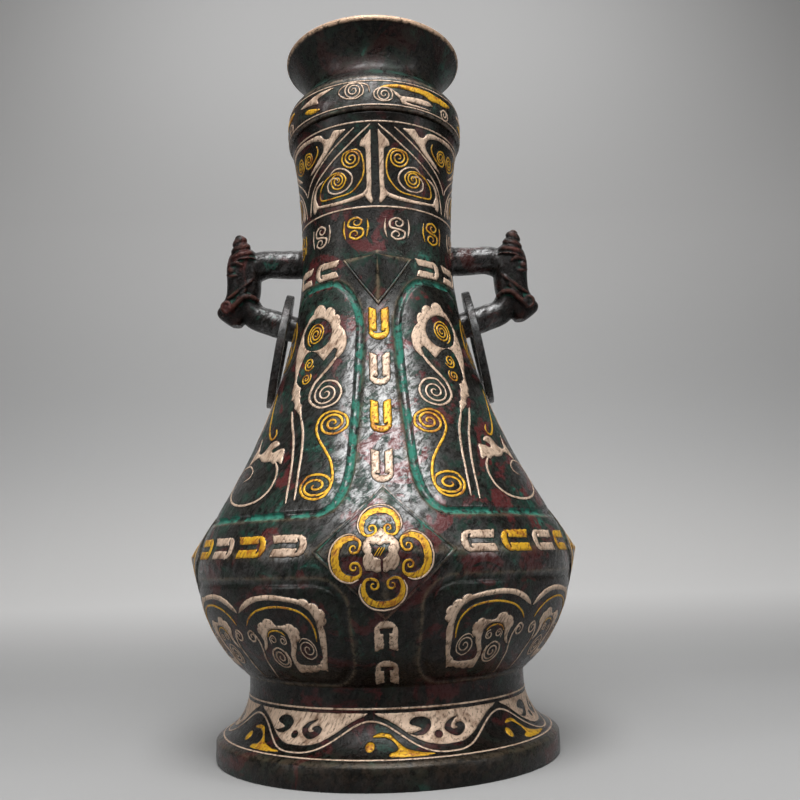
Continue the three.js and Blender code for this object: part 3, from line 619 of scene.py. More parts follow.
def boss_mesh(name, side, place, worn):
    """Facets of a boss as rings that grow from the tip to below the skin."""
    surface = boss_surface(SIDES[side], **place)
    per_side = 30
    walk = np.arange(4 * per_side)
    quarter, share = walk // per_side, (walk % per_side) / per_side
    across = np.choose(quarter, [1 - share, -share, share - 1, share])
    along = np.choose(quarter, [share, 1 - share, -share, share - 1])
    shares = np.concatenate([
        [0.012], np.linspace(0.05, 0.89, 23), [0.922, ENGRAVED_AT, 0.95, 0.985, 1.0, 1.012]])
    rows = []
    ridges = []
    ridge = ridge_mask(np.minimum(share, 1 - share), 1 / 14)
    for reach in shares:
        points = surface(across * reach, along * reach)
        sunk = 0.16 * ridge * min(1, reach * 3)
        if reach == ENGRAVED_AT:
            sunk += 0.3
        outward = points * [1, 1, 0] / np.hypot(points[:, 0], points[:, 1])[:, None]
        points = points - outward * sunk[:, None]
        if reach > 1:
            points = points - outward * (BOSS_STEP + 0.8)
        rows.append(points)
        # Ridges and the rim row are brightened, partly as wear and partly as a painted highlight
        ridges.append(ridge * (worn if reach < 1 else 0) + (0.3 if 0.97 < reach <= 1 else 0))
    count = len(walk)
    faces = list(grid_faces(len(rows), count)[:, ::-1])
    faces.append(list(range(count)))
    thing = make_object(name, np.concatenate(rows), faces, [vessel_bronze])
    # Painted shade in the engraved line and in the row at the boss's foot
    shaded = np.isin(shares, (ENGRAVED_AT, shares[-1])) * 0.8
    set_attribute(thing, "groove", np.repeat(shaded, count))
    set_attribute(thing, "edge", np.concatenate(ridges))
    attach(thing, "vessel")


for side, place in boss_places:
    kind = "neck" if place is NECK_BOSS else "belly"
    boss_mesh(f"{kind}_boss_{side}", side, place, worn=1.0 if kind == "neck" else 0.35)

# Forty-six tablets: U shapes of beaten silver and gold, each pressed into its own pocket in the
# straps, the belly band and the foot of the neck. A black joint line shows round every one.
TABLET_WIDTH = 7.8
TABLET_SLOT = 2.0
TABLET_PROUD = 0.12
POCKET_DEPTH = 0.45
RIM_LIFT = 0.035
JOINT_LIFT = 0.03
JOINT_WIDTH = 0.28
RIM_WANDER = 0.09
CORNER_WANDER = 0.088
chance = np.random.default_rng(11)


def beaten_group():
    """Soft metal beaten flat: short strokes, tarnish in the hollows, specks worn through."""
    tree, given, result = new_group("beaten inlay", [
        ("Position", "vector", None),
        ("Metal Color", "color", (0.8, 0.7, 0.55, 1)),
        ("Tarnish Color", "color", (0.3, 0.2, 0.1, 1)),
        ("Tarnish Amount", "value", 0.4),
        ("Stroke Scale", "value", 1200.0),
        ("Worn Amount", "value", 0.7),
    ], [("Color", "color"), ("Roughness", "value"), ("Height", "value")])
    place = given["Position"]
    bent = noise(tree, place, 180.0, 3.0)
    hammered = drawn_out(tree, place, (0.15, 0.45, 0.2), 4.5)
    strokes = noise(tree, hammered, given["Stroke Scale"], 3.0, 0.65)
    dents = noise(tree, place, 900.0, 3.0, 0.6)
    dull = plus(
        tree, ramp(tree, bent, 0.5, 0.66), times(tree, ramp(tree, strokes, 0.52, 0.4), 0.7))
    tarnish = times(tree, given["Tarnish Amount"], dull, clamp=True)
    color = blend(tree, tarnish, given["Metal Color"], given["Tarnish Color"])
    cuts = times(tree, ramp(tree, strokes, 0.43, 0.35), 0.75)
    worn = plus(tree, ramp(tree, dents, 0.61, 0.68), cuts, clamp=True)
    worn = times(tree, worn, given["Worn Amount"])
    color = blend(tree, worn, color, (0.03, 0.018, 0.01, 1))
    tree.links.new(color, result["Color"])
    tree.links.new(scaled(tree, dents, 0.3, 0.7, 0.36, 0.6), result["Roughness"])
    height = plus(tree, times(tree, strokes, 0.7), times(tree, dents, 0.4))
    tree.links.new(minus(tree, height, worn), result["Height"])
    return tree


BEATEN = beaten_group()
BEATEN_DEPTH = 0.0004


def inlay_material(name, metallic, bump, **values):
    material = bpy.data.materials.new(name)
    material.use_nodes = True
    tree = material.node_tree
    shader = tree.nodes["Principled BSDF"]
    place = tree.nodes.new("ShaderNodeTexCoord").outputs["Object"]
    beaten = add_node(tree, "ShaderNodeGroup")
    beaten.node_tree = BEATEN
    tree.links.new(place, beaten.inputs["Position"])
    for key, value in values.items():
        beaten.inputs[key.replace("_", " ")].default_value = value
    shader.inputs["Metallic"].default_value = metallic
    tree.links.new(beaten.outputs["Color"], shader.inputs["Base Color"])
    tree.links.new(beaten.outputs["Roughness"], shader.inputs["Roughness"])
    bump_node = add_node(tree, "ShaderNodeBump", values={
        "Strength": bump, "Distance": BEATEN_DEPTH, "Height": beaten.outputs["Height"]})
    tree.links.new(bump_node.outputs["Normal"], shader.inputs["Normal"])
    return material


silver = inlay_material(
    "beaten silver", 0.25, 0.5, Metal_Color=(0.7, 0.52, 0.385, 1),
    Tarnish_Color=(0.27, 0.16, 0.1, 1), Tarnish_Amount=0.6)
gold = inlay_material(
    "beaten gold", 0.3, 0.5, Metal_Color=(0.76, 0.43, 0.02, 1),
    Tarnish_Color=(0.36, 0.11, 0.008, 1), Tarnish_Amount=0.75)
joint_black = bronze_material(
    "black joint line", use_masks=False, Dark=(0.006, 0.005, 0.004, 1),
    Light=(0.02, 0.014, 0.01, 1), Green_Amount=0.15, Maroon_Amount=0.3, Bloom_Amount=0.0,
    Polish_Amount=0.2)
METALS = {"silver": silver, "gold": gold}


def resampled(points, spacing, closed=False):
    """The same line with points at an even spacing."""
    points = np.asarray(points, float)
    if closed:
        points = np.vstack([points, points[:1]])
    run = np.concatenate([[0], np.cumsum(np.hypot(*np.diff(points, axis=0).T))])
    count = max(3, int(round(run[-1] / spacing)))
    stops = np.linspace(0, run[-1], count + 1)
    if closed:
        stops = stops[:-1]
    return np.stack([np.interp(stops, run, points[:, k]) for k in (0, 1)], 1)


def dense_outline(points, spacing):
    """A closed outline with extra points on its long sides; its corners stay."""
    result = []
    for here, there in zip(points, np.roll(points, -1, axis=0)):
        here, there = np.asarray(here, float), np.asarray(there, float)
        count = max(1, int(math.ceil(np.hypot(*(there - here)) / spacing)))
        result += [here + (there - here) * k / count for k in range(count)]
    return np.array(result)


def signed_area(points):
    x, y = points[:, 0], points[:, 1]
    return 0.5 * float(np.sum(x * np.roll(y, -1) - y * np.roll(x, -1)))


def inside(points, loops):
    """Which points lie within the loops, holes taken out."""
    result = np.zeros(len(points), bool)
    for loop in loops:
        x0, y0 = loop[:, 0], loop[:, 1]
        x1, y1 = np.roll(x0, -1), np.roll(y0, -1)
        px, py = points[:, 0:1], points[:, 1:2]
        crosses = (y0 > py) != (y1 > py)
        with np.errstate(divide="ignore", invalid="ignore"):
            at = x0 + (py - y0) * (x1 - x0) / (y1 - y0)
        result ^= (crosses & (px < at)).sum(1) % 2 == 1
    return result


def square_out(loop):
    """Unit steps outward, square to a closed outline."""
    ahead = np.roll(loop, -1, axis=0) - np.roll(loop, 1, axis=0)
    out = np.stack([ahead[:, 1], -ahead[:, 0]], 1)
    return out / np.maximum(np.linalg.norm(out, axis=1, keepdims=True), 1e-9)


def nibbled(loop):
    """An outline whose edge wanders a little, as hammered sheet does in its pocket."""
    wander = chance.uniform(-RIM_WANDER, RIM_WANDER, len(loop))
    return loop + square_out(loop) * (0.5 * (wander + np.roll(wander, 1)))[:, None]


def distances(points, others):
    return np.sqrt(((points[:, None] - others[None]) ** 2).sum(2))


def filled(loops, spacing):
    """Points and triangles that fill an outline and leave its holes open."""
    low, high = loops[0].min(0), loops[0].max(0)
    grid = np.stack(np.meshgrid(
        np.arange(low[0], high[0], spacing), np.arange(low[1], high[1], spacing)),
        -1).reshape(-1, 2)
    grid = grid + 0.15 * spacing * np.sin(grid[:, ::-1] * 2.1)
    grid = grid[inside(grid, loops)]
    rim = np.concatenate(loops)
    if len(grid):
        grid = grid[distances(grid, rim).min(1) > 0.5 * spacing]
    corners = np.concatenate([rim, grid])
    edges = []
    first = 0
    for loop in loops:
        edges += [(first + k, first + (k + 1) % len(loop)) for k in range(len(loop))]
        first += len(loop)
    found = delaunay_2d_cdt([tuple(p) for p in corners], edges, [], 0, 1e-6)
    flat = np.array([tuple(p) for p in found[0]])
    triangles = np.array([face for face in found[2] if len(face) == 3])
    triangles = triangles[inside(flat[triangles].mean(1), loops)]
    a, b, c = (flat[triangles[:, k]] for k in range(3))
    turned_over = np.cross(b - a, c - a) < 0
    triangles[turned_over] = triangles[turned_over][:, ::-1]
    return flat, triangles


def plate_body(place, outline, holes=(), spacing=0.8, lift=TABLET_PROUD):
    """Flat outline in millimetres made into a seated plate with its joint line.

    place(x, y, lift) puts flat points on the piece that carries the plate."""
    loops = [dense_outline(loop, spacing) for loop in (outline, *holes)]
    loops = [
        loop if (signed_area(loop) > 0) == (k == 0) else loop[::-1]
        for k, loop in enumerate(loops)]
    loops = [nibbled(loop) for loop in loops]
    flat, triangles = filled(loops, spacing)
    count = len(flat)
    gap = distances(flat, np.concatenate(loops))
    soft_edge = np.clip(gap.min(1) / 0.5, 0, 1)
    points = [place(flat[:, 0], flat[:, 1], lift * (0.45 + 0.55 * soft_edge))]
    faces = [tuple(face) for face in triangles]
    kinds = [0] * len(faces)

    # Each rim falls to the skin, runs out over the joint line and goes down into the pocket
    start = count
    nearest = gap.argmin(0)
    first = 0
    for loop in loops:
        size = len(loop)
        wide = loop + square_out(loop) * JOINT_WIDTH
        points += [
            place(loop[:, 0], loop[:, 1], np.full(size, RIM_LIFT)),
            place(wide[:, 0], wide[:, 1], np.full(size, JOINT_LIFT)),
            place(wide[:, 0], wide[:, 1], np.full(size, -POCKET_DEPTH)),
        ]
        rims = [nearest[first:first + size]] + [
            np.arange(size) + start + size * k for k in range(3)]
        for upper, lower, kind in zip(rims, rims[1:], (0, 1, 1)):
            for k in range(size):
                n = (k + 1) % size
                faces.append((upper[k], lower[k], lower[n], upper[n]))
                kinds.append(kind)
        start += 3 * size
        first += size

    # The back is the same triangles turned over and let down to the foot of the walls
    points.append(place(flat[:, 0], flat[:, 1], np.full(count, -POCKET_DEPTH)))
    faces += [tuple(face[::-1] + start) for face in triangles]
    kinds += [1] * len(triangles)
    return np.concatenate(points), faces, kinds


def merged(bodies):
    """Points and faces of several bodies as one."""
    points = []
    faces = []
    start = 0
    for body_points, body_faces, *_ in bodies:
        points.append(body_points)
        faces += [tuple(int(k) + start for k in face) for face in body_faces]
        start += len(body_points)
    return np.concatenate(points), faces


def join_bodies(name, bodies, metal, body="vessel"):
    """One object from the bodies of inlays made of the same metal."""
    kinds = [kind for part in bodies for kind in part[2]]
    thing = make_object(name, *merged(bodies), [METALS[metal], joint_black], kinds)
    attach(thing, body)
    return thing


def tablet_outline(length, crossbar):
    """U shape with its closed round end towards +x. A crossbar widens the slot's end."""
    half_length = length / 2
    half_width = TABLET_WIDTH / 2
    half_slot = TABLET_SLOT / 2
    turn = np.linspace(-math.pi / 2, math.pi / 2, 15)
    centre = half_length - half_width * 0.94
    points = [(-half_length, -half_width)]
    points += [
        (centre + half_width * 0.94 * math.cos(t), half_width * math.sin(t)) for t in turn]
    points += [(-half_length, half_width), (-half_length + 0.5, half_width * 0.62)]
    points += [(-half_length + 1.3, half_slot)]
    slot_end = centre + 0.9
    bar = half_width * (0.56 if crossbar else 0.7)
    back = 1.9 if crossbar else 1.0
    if crossbar:
        corner = [(slot_end - back, half_slot), (slot_end - back, bar), (slot_end, bar)]
    else:
        corner = [
            (slot_end - back, half_slot), (slot_end - 0.9, half_slot * 1.5),
            (slot_end - 1.5, bar), (slot_end - 0.5, bar * 0.8), (slot_end, half_slot)]
    points += corner
    points += [(x, -y) for x, y in corner[::-1]]
    points.append((-half_length + 1.3, -half_slot))
    points.append((-half_length + 0.5, -half_width * 0.62))
    return np.array(points)


def tablet(name, metal, angle, z, length, heading, crossbar=False):
    """One tablet wrapped on the casting, standing for the model's piece of the same name."""
    upright = heading in ("up", "down")
    sign = 1 if heading in ("up", "right") else -1
    slope = float(radius_at(z + 1) - radius_at(z - 1))
    steepness = 1 / math.hypot(1, slope / 2)
    wobble = chance.normal(0, CORNER_WANDER, 400)

    def place(x, y, lift):
        forward = sign * x
        across, along = (y * sign, forward) if upright else (forward, y * sign)
        height = z + along * steepness
        return lifted(skin, angle + np.degrees(across / radius_at(height)), height, lift)

    outline = dense_outline(tablet_outline(length, crossbar), 0.8)
    outline += wobble[:2 * len(outline)].reshape(-1, 2)
    thing = join_bodies(name, [plate_body(place, outline)], metal)
    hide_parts(name)


def scale_at(height):
    """Millimetres that one degree takes up round the vessel at a height."""
    return math.radians(1) * float(radius_at(height))


STRAP_TOP = NECK_BASE_HEIGHT - 30
STRAP_PITCH = (STRAP_TOP - BELLY_HEIGHT - 31.5) / 3
STRAP_TABLET_LENGTH = 14.5
LOW_TABLET_LENGTH = 11.6
LOW_TABLET_SHARES = (0.434, 0.162)
for side, angle in SIDES.items():
    first = 1 if side in ("left", "right") else 0
    for k in range(first, 4):
        metal = "gold" if k % 2 == 0 else "silver"
        height = STRAP_TOP - k * STRAP_PITCH
        tablet(
            f"{metal}_tablet_{side}_strap_{k + 1}", metal, angle, height, STRAP_TABLET_LENGTH,
            "down")
    for k, share in enumerate(LOW_TABLET_SHARES):
        height = between(WAIST_HEIGHT, BELLY_HEIGHT, share)
        tablet(
            f"silver_tablet_{side}_below_{k + 1}", "silver", angle, height, LOW_TABLET_LENGTH,
            "up", crossbar=True)

BELLY_ROW_HEIGHT = BELLY_HEIGHT + 4
BELLY_ROW_START = 19.5
BELLY_ROW_PITCH = (90 - 2 * BELLY_ROW_START) / 4
NECK_ROW_HEIGHT = NECK_BASE_HEIGHT - 4.6
NECK_ROW_PITCH = 25.5
TABLET_SPACING = 2.2
QUARTERS = (
    ("front", "right", 1), ("front", "left", -1), ("back", "right", -1), ("back", "left", 1))
for end, side, sense in QUARTERS:
    to_end, to_handle = ("left", "right") if sense > 0 else ("right", "left")
    length = BELLY_ROW_PITCH * scale_at(BELLY_ROW_HEIGHT) - TABLET_SPACING
    for k in range(4):
        metal = "silver" if k % 2 == 0 else "gold"
        from_end = BELLY_ROW_START + BELLY_ROW_PITCH * (k + 0.5)
        tablet(
            f"{metal}_tablet_{end}_{side}_belly_{k + 1}", metal, SIDES[end] + sense * from_end,
            BELLY_ROW_HEIGHT, length, to_end)
    length = NECK_ROW_PITCH * scale_at(NECK_ROW_HEIGHT) - TABLET_SPACING
    for k in range(2):
        from_end = NECK_BOSS["half_angle"] + 1.5 + NECK_ROW_PITCH * (k + 0.5)
        tablet(
            f"silver_tablet_{end}_{side}_neck_{k + 1}", "silver",
            SIDES[end] + sense * from_end, NECK_ROW_HEIGHT, length, to_handle)

# The flowers on the belly bosses: a silver plate seated over each tip, and round it four petals
# drawn in thick gold crescents that roll into spirals, each edged by a thin silver wire.
LINE_LIFT = 0.14
CHANNEL_DEPTH = 0.35


def smooth(points, closed=False, steps=8):
    """Soft curve through every point given."""
    points = np.asarray(points, float)
    if closed:
        points = np.vstack([points[-1:], points, points[:2]])
    else:
        points = np.vstack([2 * points[0] - points[1], points, 2 * points[-1] - points[-2]])
    share = np.linspace(0, 1, steps, endpoint=False)[:, None]
    rows = []
    for a, b, c, d in zip(points, points[1:], points[2:], points[3:]):
        rows.append(0.5 * (
            2 * b + (c - a) * share + (2 * a - 5 * b + 4 * c - d) * share ** 2
            + (3 * b - a - 3 * c + d) * share ** 3))
    if not closed:
        rows.append(points[-2:-1])
    return np.vstack(rows)


def lobes(*points, bulge=0.3, hand=1):
    """Chain of round lobes between cusps; the last cusp is left for what follows."""
    rows = []
    turn = np.linspace(0, math.pi, 9)[:-1]
    for start, end in zip(np.array(points, float), np.array(points, float)[1:]):
        chord = end - start
        out = hand * np.array([-chord[1], chord[0]]) * bulge
        share = (1 - np.cos(turn)) / 2
        rows.append(start + chord * share[:, None] + out * np.sin(turn)[:, None])
    return np.vstack(rows)


def curl(trace, centre, turns, end_radius=0.45):
    """The trace's last point rolled on round a centre to the end radius."""
    start = np.asarray(trace[-1], float) - centre
    ahead = np.asarray(trace[-1], float) - np.asarray(trace[-2], float)
    hand = 1 if start[0] * ahead[1] - start[1] * ahead[0] > 0 else -1
    share = np.linspace(0, 1, int(22 * turns) + 2)[1:]
    radius = np.hypot(*start) * (1 - share) + end_radius * share
    angle = math.atan2(start[1], start[0]) + hand * 2 * math.pi * turns * share
    return np.stack([centre[0] + radius * np.cos(angle), centre[1] + radius * np.sin(angle)], 1)


def whorl(trace, first=None, last=None, turns=1.6):
    """Smooth trace with a spiral at either end or both, all in flat millimetres."""
    line = smooth(trace)
    if last is not None:
        line = np.vstack([line, curl(line[-2:], np.array(last, float), turns)])
    if first is not None:
        back = line[::-1]
        line = np.vstack([back, curl(back[-2:], np.array(first, float), turns)])[::-1]
    return line


def line_body(place, path, width, taper=0.5, spacing=0.4):
    """Inlaid wire of even width along a flat path, with its joint line at both sides."""
    path = resampled(path, spacing)
    count = len(path)
    share = np.linspace(0, 1, count)
    widths = np.interp(share, np.linspace(0, 1, np.size(width)), np.atleast_1d(width))
    end = np.minimum(share, 1 - share) * count * spacing
    widths = widths * (taper + (1 - taper) * np.clip(end / 2.5, 0, 1))
    widths = widths * (1 + 0.05 * np.sin(share * count * 0.9) + 0.04 * np.sin(share * count * 2.3))
    ahead = np.gradient(path, axis=0)
    reach = 0.05
    stretch = np.stack([np.linalg.norm(
        place(path[:, 0] + dx, path[:, 1] + dy, 0.0)
        - place(path[:, 0] - dx, path[:, 1] - dy, 0.0), axis=1) / (2 * reach)
        for dx, dy in ((reach, 0), (0, reach))], 1)
    true_ahead = ahead * stretch
    true_ahead /= np.maximum(np.linalg.norm(true_ahead, axis=1, keepdims=True), 1e-9)
    side = np.stack([-true_ahead[:, 1], true_ahead[:, 0]], 1) / stretch
    # Across the wire: share of its half width, how far beyond, and height over the skin
    section = (
        (-1, -JOINT_WIDTH, -CHANNEL_DEPTH), (-1, -JOINT_WIDTH, JOINT_LIFT), (-1, 0, RIM_LIFT),
        (-0.8, 0, LINE_LIFT * 0.8), (0, 0, LINE_LIFT), (0.8, 0, LINE_LIFT * 0.8),
        (1, 0, RIM_LIFT), (1, JOINT_WIDTH, JOINT_LIFT), (1, JOINT_WIDTH, -CHANNEL_DEPTH))
    columns = []
    for reach, beyond, height in section:
        spread = path + side * (widths / 2 * reach + beyond)[:, None]
        columns.append(place(spread[:, 0], spread[:, 1], np.full(count, height)))
    points = np.stack(columns, 1)
    size = len(section)
    faces = [tuple(face[::-1]) for face in grid_faces(count, size)]
    kinds = [1 if k % size in (0, 1, 6, 7, 8) else 0 for k in range(len(faces))]
    faces += [tuple(range(size)), tuple(range(count * size - 1, (count - 1) * size - 1, -1))]
    kinds += [1, 1]
    return points.reshape(-1, 3), faces, kinds


def boss_place(side):
    """Puts flat millimetres, measured from the boss's tip, on its facets."""
    surface = boss_surface(SIDES[side], **BELLY_BOSS)
    half_width = math.radians(BELLY_BOSS["half_angle"]) * BELLY_RADIUS

    def place(x, y, lift):
        return lifted(surface, x / half_width, y / BELLY_BOSS["up"], lift, step=0.01)

    return place


def turned_by(points, angle):
    turn = math.radians(angle)
    c, s = math.cos(turn), math.sin(turn)
    return np.asarray(points, float) @ np.array([[c, s], [-s, c]])


# The upper petal, measured from the middle of the flower, and the plate over the tip
FLOWER_CENTRE = (-1.0, -2.0)
PETAL_EDGE = [(-7.0, 7.9), (-8.0, 10.8), (-6.9, 14.2), (-3.9, 16.8), (0, 17.6)]
PETAL_STROKE = [
    (-1.6, 9.5), (-1.9, 7.9), (-3.4, 7.1), (-5.3, 7.2), (-6.4, 8.7), (-6.6, 11), (-5.6, 13.5),
    (-3.2, 15.1), (0, 15.6)]
PETAL_CURL_CENTRE = (-3.1, 9.2)
PLATE = [
    (0.5, -4.7), (0.5, -0.9), (1.4, -0.3), (2.5, 1.2), (2.4, 2.8), (3.3, 4.4), (1.9, 4),
    (1, 4.4), (-0.5, 3.5), (-1.9, 4.3), (-2.6, 3.9), (-4.1, 4.5), (-3.3, 2.8), (-3.4, 1.4),
    (-2.2, -0.3), (-0.3, -0.9), (-0.3, -4.7), (-1.7, -5.2), (-3.2, -4.4), (-5.2, -4.5),
    (-6, -2.6), (-6, -0.3), (-5.2, 1), (-6.4, 2.4), (-6.1, 4.8), (-4.7, 6.4), (-3.4, 6.6),
    (-1.2, 8.4), (-0.1, 9.6), (1.1, 8.6), (3.1, 7.2), (4.9, 6), (6, 4.6), (6.2, 2.6), (5.4, 1),
    (6, -0.8), (5.6, -2.8), (4.4, -4.4), (2.6, -4.3), (1.3, -5.2)]


def mirrored(points):
    """The points, then their mirror image in reverse, for a form even about its middle."""
    points = np.asarray(points, float)
    return np.vstack([points, points[::-1] * [-1, 1]])


for side in SIDES:
    place = boss_place(side)
    gold_bodies = []
    silver_bodies = []
    for quarter in range(4):
        turn = -90 * quarter + 2.0
        edge = smooth(PETAL_EDGE, steps=6)
        silver_bodies.append(line_body(
            place, turned_by(mirrored(edge)[:-1], turn) + FLOWER_CENTRE, 0.55))
        half_petal = whorl(PETAL_STROKE, first=PETAL_CURL_CENTRE, turns=0.8)
        broad = 2.2 if quarter % 2 == 0 else 2.7
        widths = [0.6, 0.7, 0.8, 0.9, broad * 0.75, broad * 0.95, broad]
        gold_bodies.append(line_body(
            place, turned_by(mirrored(half_petal), turn) + FLOWER_CENTRE,
            widths + widths[::-1]))
    join_bodies(f"gold_petals_{side}", gold_bodies, "gold")
    join_bodies(f"silver_petal_edges_{side}", silver_bodies, "silver")
    plate = plate_body(place, np.array(PLATE) + FLOWER_CENTRE, lift=LINE_LIFT)
    plate_object = join_bodies(f"silver_boss_plate_{side}", [plate], "silver")
    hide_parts(f"silver_boss_plate_{side}")
    strokes = [
        line_body(place, np.array([(x - 1.4, 0.2), (x + 0.3, 2.9)]) + FLOWER_CENTRE, 0.42)
        for x in (-0.9, 0, 0.9)]
    join_bodies(f"gold_tulip_strokes_{side}", strokes, "gold")

# The crested birds on the upper panels: a silver crest pierced by a round eye, a long neck of
# two wires, gold spirals and scrolls, and a forked tail whose wire sweeps round. Sheet and wire
# are hammered into cut channels and rubbed level with the skin.
BIRD_HEIGHT = 145.0
bird_scale = scale_at(BIRD_HEIGHT)


def panel_place(side_angle, sense, scale, surface=skin):
    """Puts flat millimetres on a casting; flat x runs away from the strap's middle."""

    def place(x, y, lift):
        return lifted(surface, side_angle + sense * x / scale, y, lift)

    return place


def flat(points, scale):
    """Degrees and height as flat millimetres."""
    return np.asarray(points, float) * [scale, 1]


def leaf_line(place, points, scale, width, **spirals):
    centres = {
        key: flat([spirals[key]], scale)[0] for key in ("first", "last") if key in spirals}
    return line_body(
        place, whorl(flat(points, scale), turns=spirals.get("turns", 1.6), **centres), width)


def leaf(*points, steps=3):
    """Closed soft outline through the points."""
    return smooth(points, closed=True, steps=steps)


def oval(middle, wide, tall, count):
    turn = np.linspace(0, 2 * math.pi, count, endpoint=False)
    return np.stack([middle[0] + wide * np.cos(turn), middle[1] + tall * np.sin(turn)], 1)


def spiral(middle, wide, tall, start, turns):
    """Spiral from its rim inward, in degrees and height, start an angle in degrees."""
    share = np.linspace(0, 1, int(20 * turns) + 2)
    size = 1 - 0.88 * share
    turn = math.radians(start) + 2 * math.pi * turns * share
    return [(middle[0] + wide * s * math.cos(t), middle[1] + tall * s * math.sin(t))
            for s, t in zip(size, turn)]


# Outlines and wires, as degrees from the middle of the strap and height
CREST = [
    smooth([(48.2, 142.4), (49.2, 146.5), (51.6, 151), (53.6, 156), (53.4, 161), (51.6, 166.5),
            (48.2, 171), (44.2, 173.2)]),
    lobes((44.2, 173.2), (34.4, 172.9), (27.2, 170.6), (23.6, 166.4), bulge=0.36, hand=-1),
    smooth([(23.6, 166.4), (20.2, 163.6), (18.3, 159.6), (19.2, 155), (22.4, 151.8)]),
    [(24.2, 152.6), (22.9, 155.4), (24.8, 156.6), (30.6, 151.4)],
    smooth([(30.6, 151.4), (33, 153.2), (36.4, 155.4), (41, 156.6), (44.8, 155.2), (46.9, 151.4),
            (47.4, 147.4), (46.9, 144.2)]),
    smooth([(46.9, 144.2), (44.6, 142.6), (41.8, 141.2)]),
    lobes((41.8, 141.2), (40.2, 137.6), (38.2, 133.8), bulge=0.22, hand=1),
    smooth([(38.2, 133.8), (37.6, 131.8), (36.4, 128.4), (38.6, 130.2), (42.6, 133)]),
    lobes((42.6, 133), (46.8, 136.4), (48.6, 139.8), bulge=0.2, hand=1),
]
CREST_EYE = [(38.9 + 11.2 * math.cos(t), 163.6 + 7.2 * math.sin(t) + 0.9 * math.cos(t))
             for t in np.linspace(0, 2 * math.pi, 26, endpoint=False)]
CREST_TAIL = [
    (23.2, 152.4), (26.5, 148.6), (30.4, 145), (33.8, 141.4), (34.6, 136), (30, 132.3),
    (24.9, 131.6), (19.8, 133.6), (18.4, 138), (21.8, 141.9), (28, 142.4), (31.4, 139.2)]
NECK_WIRES = (
    [(36.9, 129), (33.2, 122.6), (30.8, 114.2), (29.5, 106.8), (28.3, 100.5), (27.6, 95.8)],
    [(43.4, 131.6), (40.5, 126.1), (37.5, 121), (34.9, 114.4), (33, 107.8), (31.5, 100.4),
     (30.4, 94.8)])
GOLD_SCROLL = [
    (16.8, 120.9), (13.9, 123.4), (14.9, 127.4), (20.6, 129.6), (25.8, 127.8), (26.9, 123.2),
    (24.8, 119), (21.3, 114.6), (18.2, 110), (16.6, 105), (16.5, 100.4), (18, 97), (21, 95.8),
    (24.9, 97.2), (26.8, 100.8), (25.4, 104.2)]
FORK = leaf(
    (61.5, 122.6), (60.6, 118.6), (61.8, 115.6), (62.6, 111.9), (58.8, 113.6), (55.4, 114.4),
    (52.6, 112.9), (49.2, 112), (45.6, 111.9), (43.2, 110.6), (41.6, 111.6), (38.8, 110.4),
    (39.4, 113.4), (40.2, 116.4), (43.6, 116.2), (46.4, 115.4), (47.6, 116.8), (44.2, 118.4),
    (46.8, 120.2), (50.2, 119.6), (52.4, 117), (54.6, 115.8), (57.4, 116.2), (58.9, 118.4))
TAIL_SWEEP = [
    (42.4, 111.4), (40, 108.6), (38.9, 104.6), (40, 99.8), (44.4, 96.4), (52, 95.6),
    (60.5, 97.6), (66.9, 101.6), (70.6, 107.2), (67, 110.6), (60.4, 111.4), (55.6, 109.2),
    (55.4, 106.6), (59, 105.2)]
PLUME_PENDANT = [
    (66.2, 142), (64.4, 137.6), (60.9, 131.6), (57.5, 126.4), (53.6, 122.4), (50.6, 121.2),
    (49.2, 123), (50.6, 125.2)]
FAR_SCROLL = [
    (67.6, 162.6), (72.6, 162), (75.4, 158), (73, 153.6), (66.8, 151.6), (61.6, 155.4),
    (60.2, 161.8), (61.8, 168.2), (66.4, 172.6), (72.4, 173.6), (76.4, 170.6), (74.6, 167.4)]
FAR_LEAF = [
    smooth([(78, 147), (74.2, 143.8), (70.2, 138.6), (68.4, 132), (69.2, 126), (73, 121.2),
            (77.6, 119.2)]),
    lobes((77.6, 119.2), (74.4, 126), (74, 132), (76, 138.6), (78, 147), bulge=0.22, hand=1),
]

for end, side, sense in QUARTERS:
    place = panel_place(SIDES[end], sense, bird_scale)
    crest = flat(np.vstack(CREST), bird_scale)
    far_leaf = flat(np.vstack(FAR_LEAF), bird_scale)
    silver_bodies = [
        plate_body(place, crest, holes=[flat(CREST_EYE, bird_scale)], spacing=1.0),
        plate_body(place, flat(FORK, bird_scale), spacing=0.9),
        plate_body(place, far_leaf, spacing=1.0),
        leaf_line(
            place, CREST_TAIL, bird_scale, [1.3, 0.8, 0.7, 0.65], last=(25.9, 137.2), turns=2.0),
        leaf_line(place, TAIL_SWEEP, bird_scale, [1.0, 0.9, 0.7, 0.55]),
    ]
    for wire in NECK_WIRES:
        silver_bodies.append(leaf_line(place, wire, bird_scale, [1.0, 0.9, 0.7]))
    gold_bodies = [
        leaf_line(
            place, GOLD_SCROLL, bird_scale, 0.9, first=(19.8, 124.8), last=(21.6, 100.6),
            turns=2.0),
        leaf_line(place, spiral((39.3, 163.6), 6.6, 5.1, -70, 3.1), bird_scale, 0.6),
        leaf_line(place, spiral((40, 151), 3.6, 3.0, -160, 1.9), bird_scale, 0.65),
        leaf_line(place, spiral((39.9, 144.8), 3.2, 2.6, 130, 1.8), bird_scale, 0.65),
        leaf_line(place, PLUME_PENDANT, bird_scale, 0.9),
        leaf_line(
            place, FAR_SCROLL, bird_scale, 1.0, first=(68.6, 157.6), last=(69.6, 168.6),
            turns=1.2),
    ]
    join_bodies(f"silver_bird_{end}_{side}", silver_bodies, "silver")
    join_bodies(f"gold_scrolls_{end}_{side}", gold_bodies, "gold")

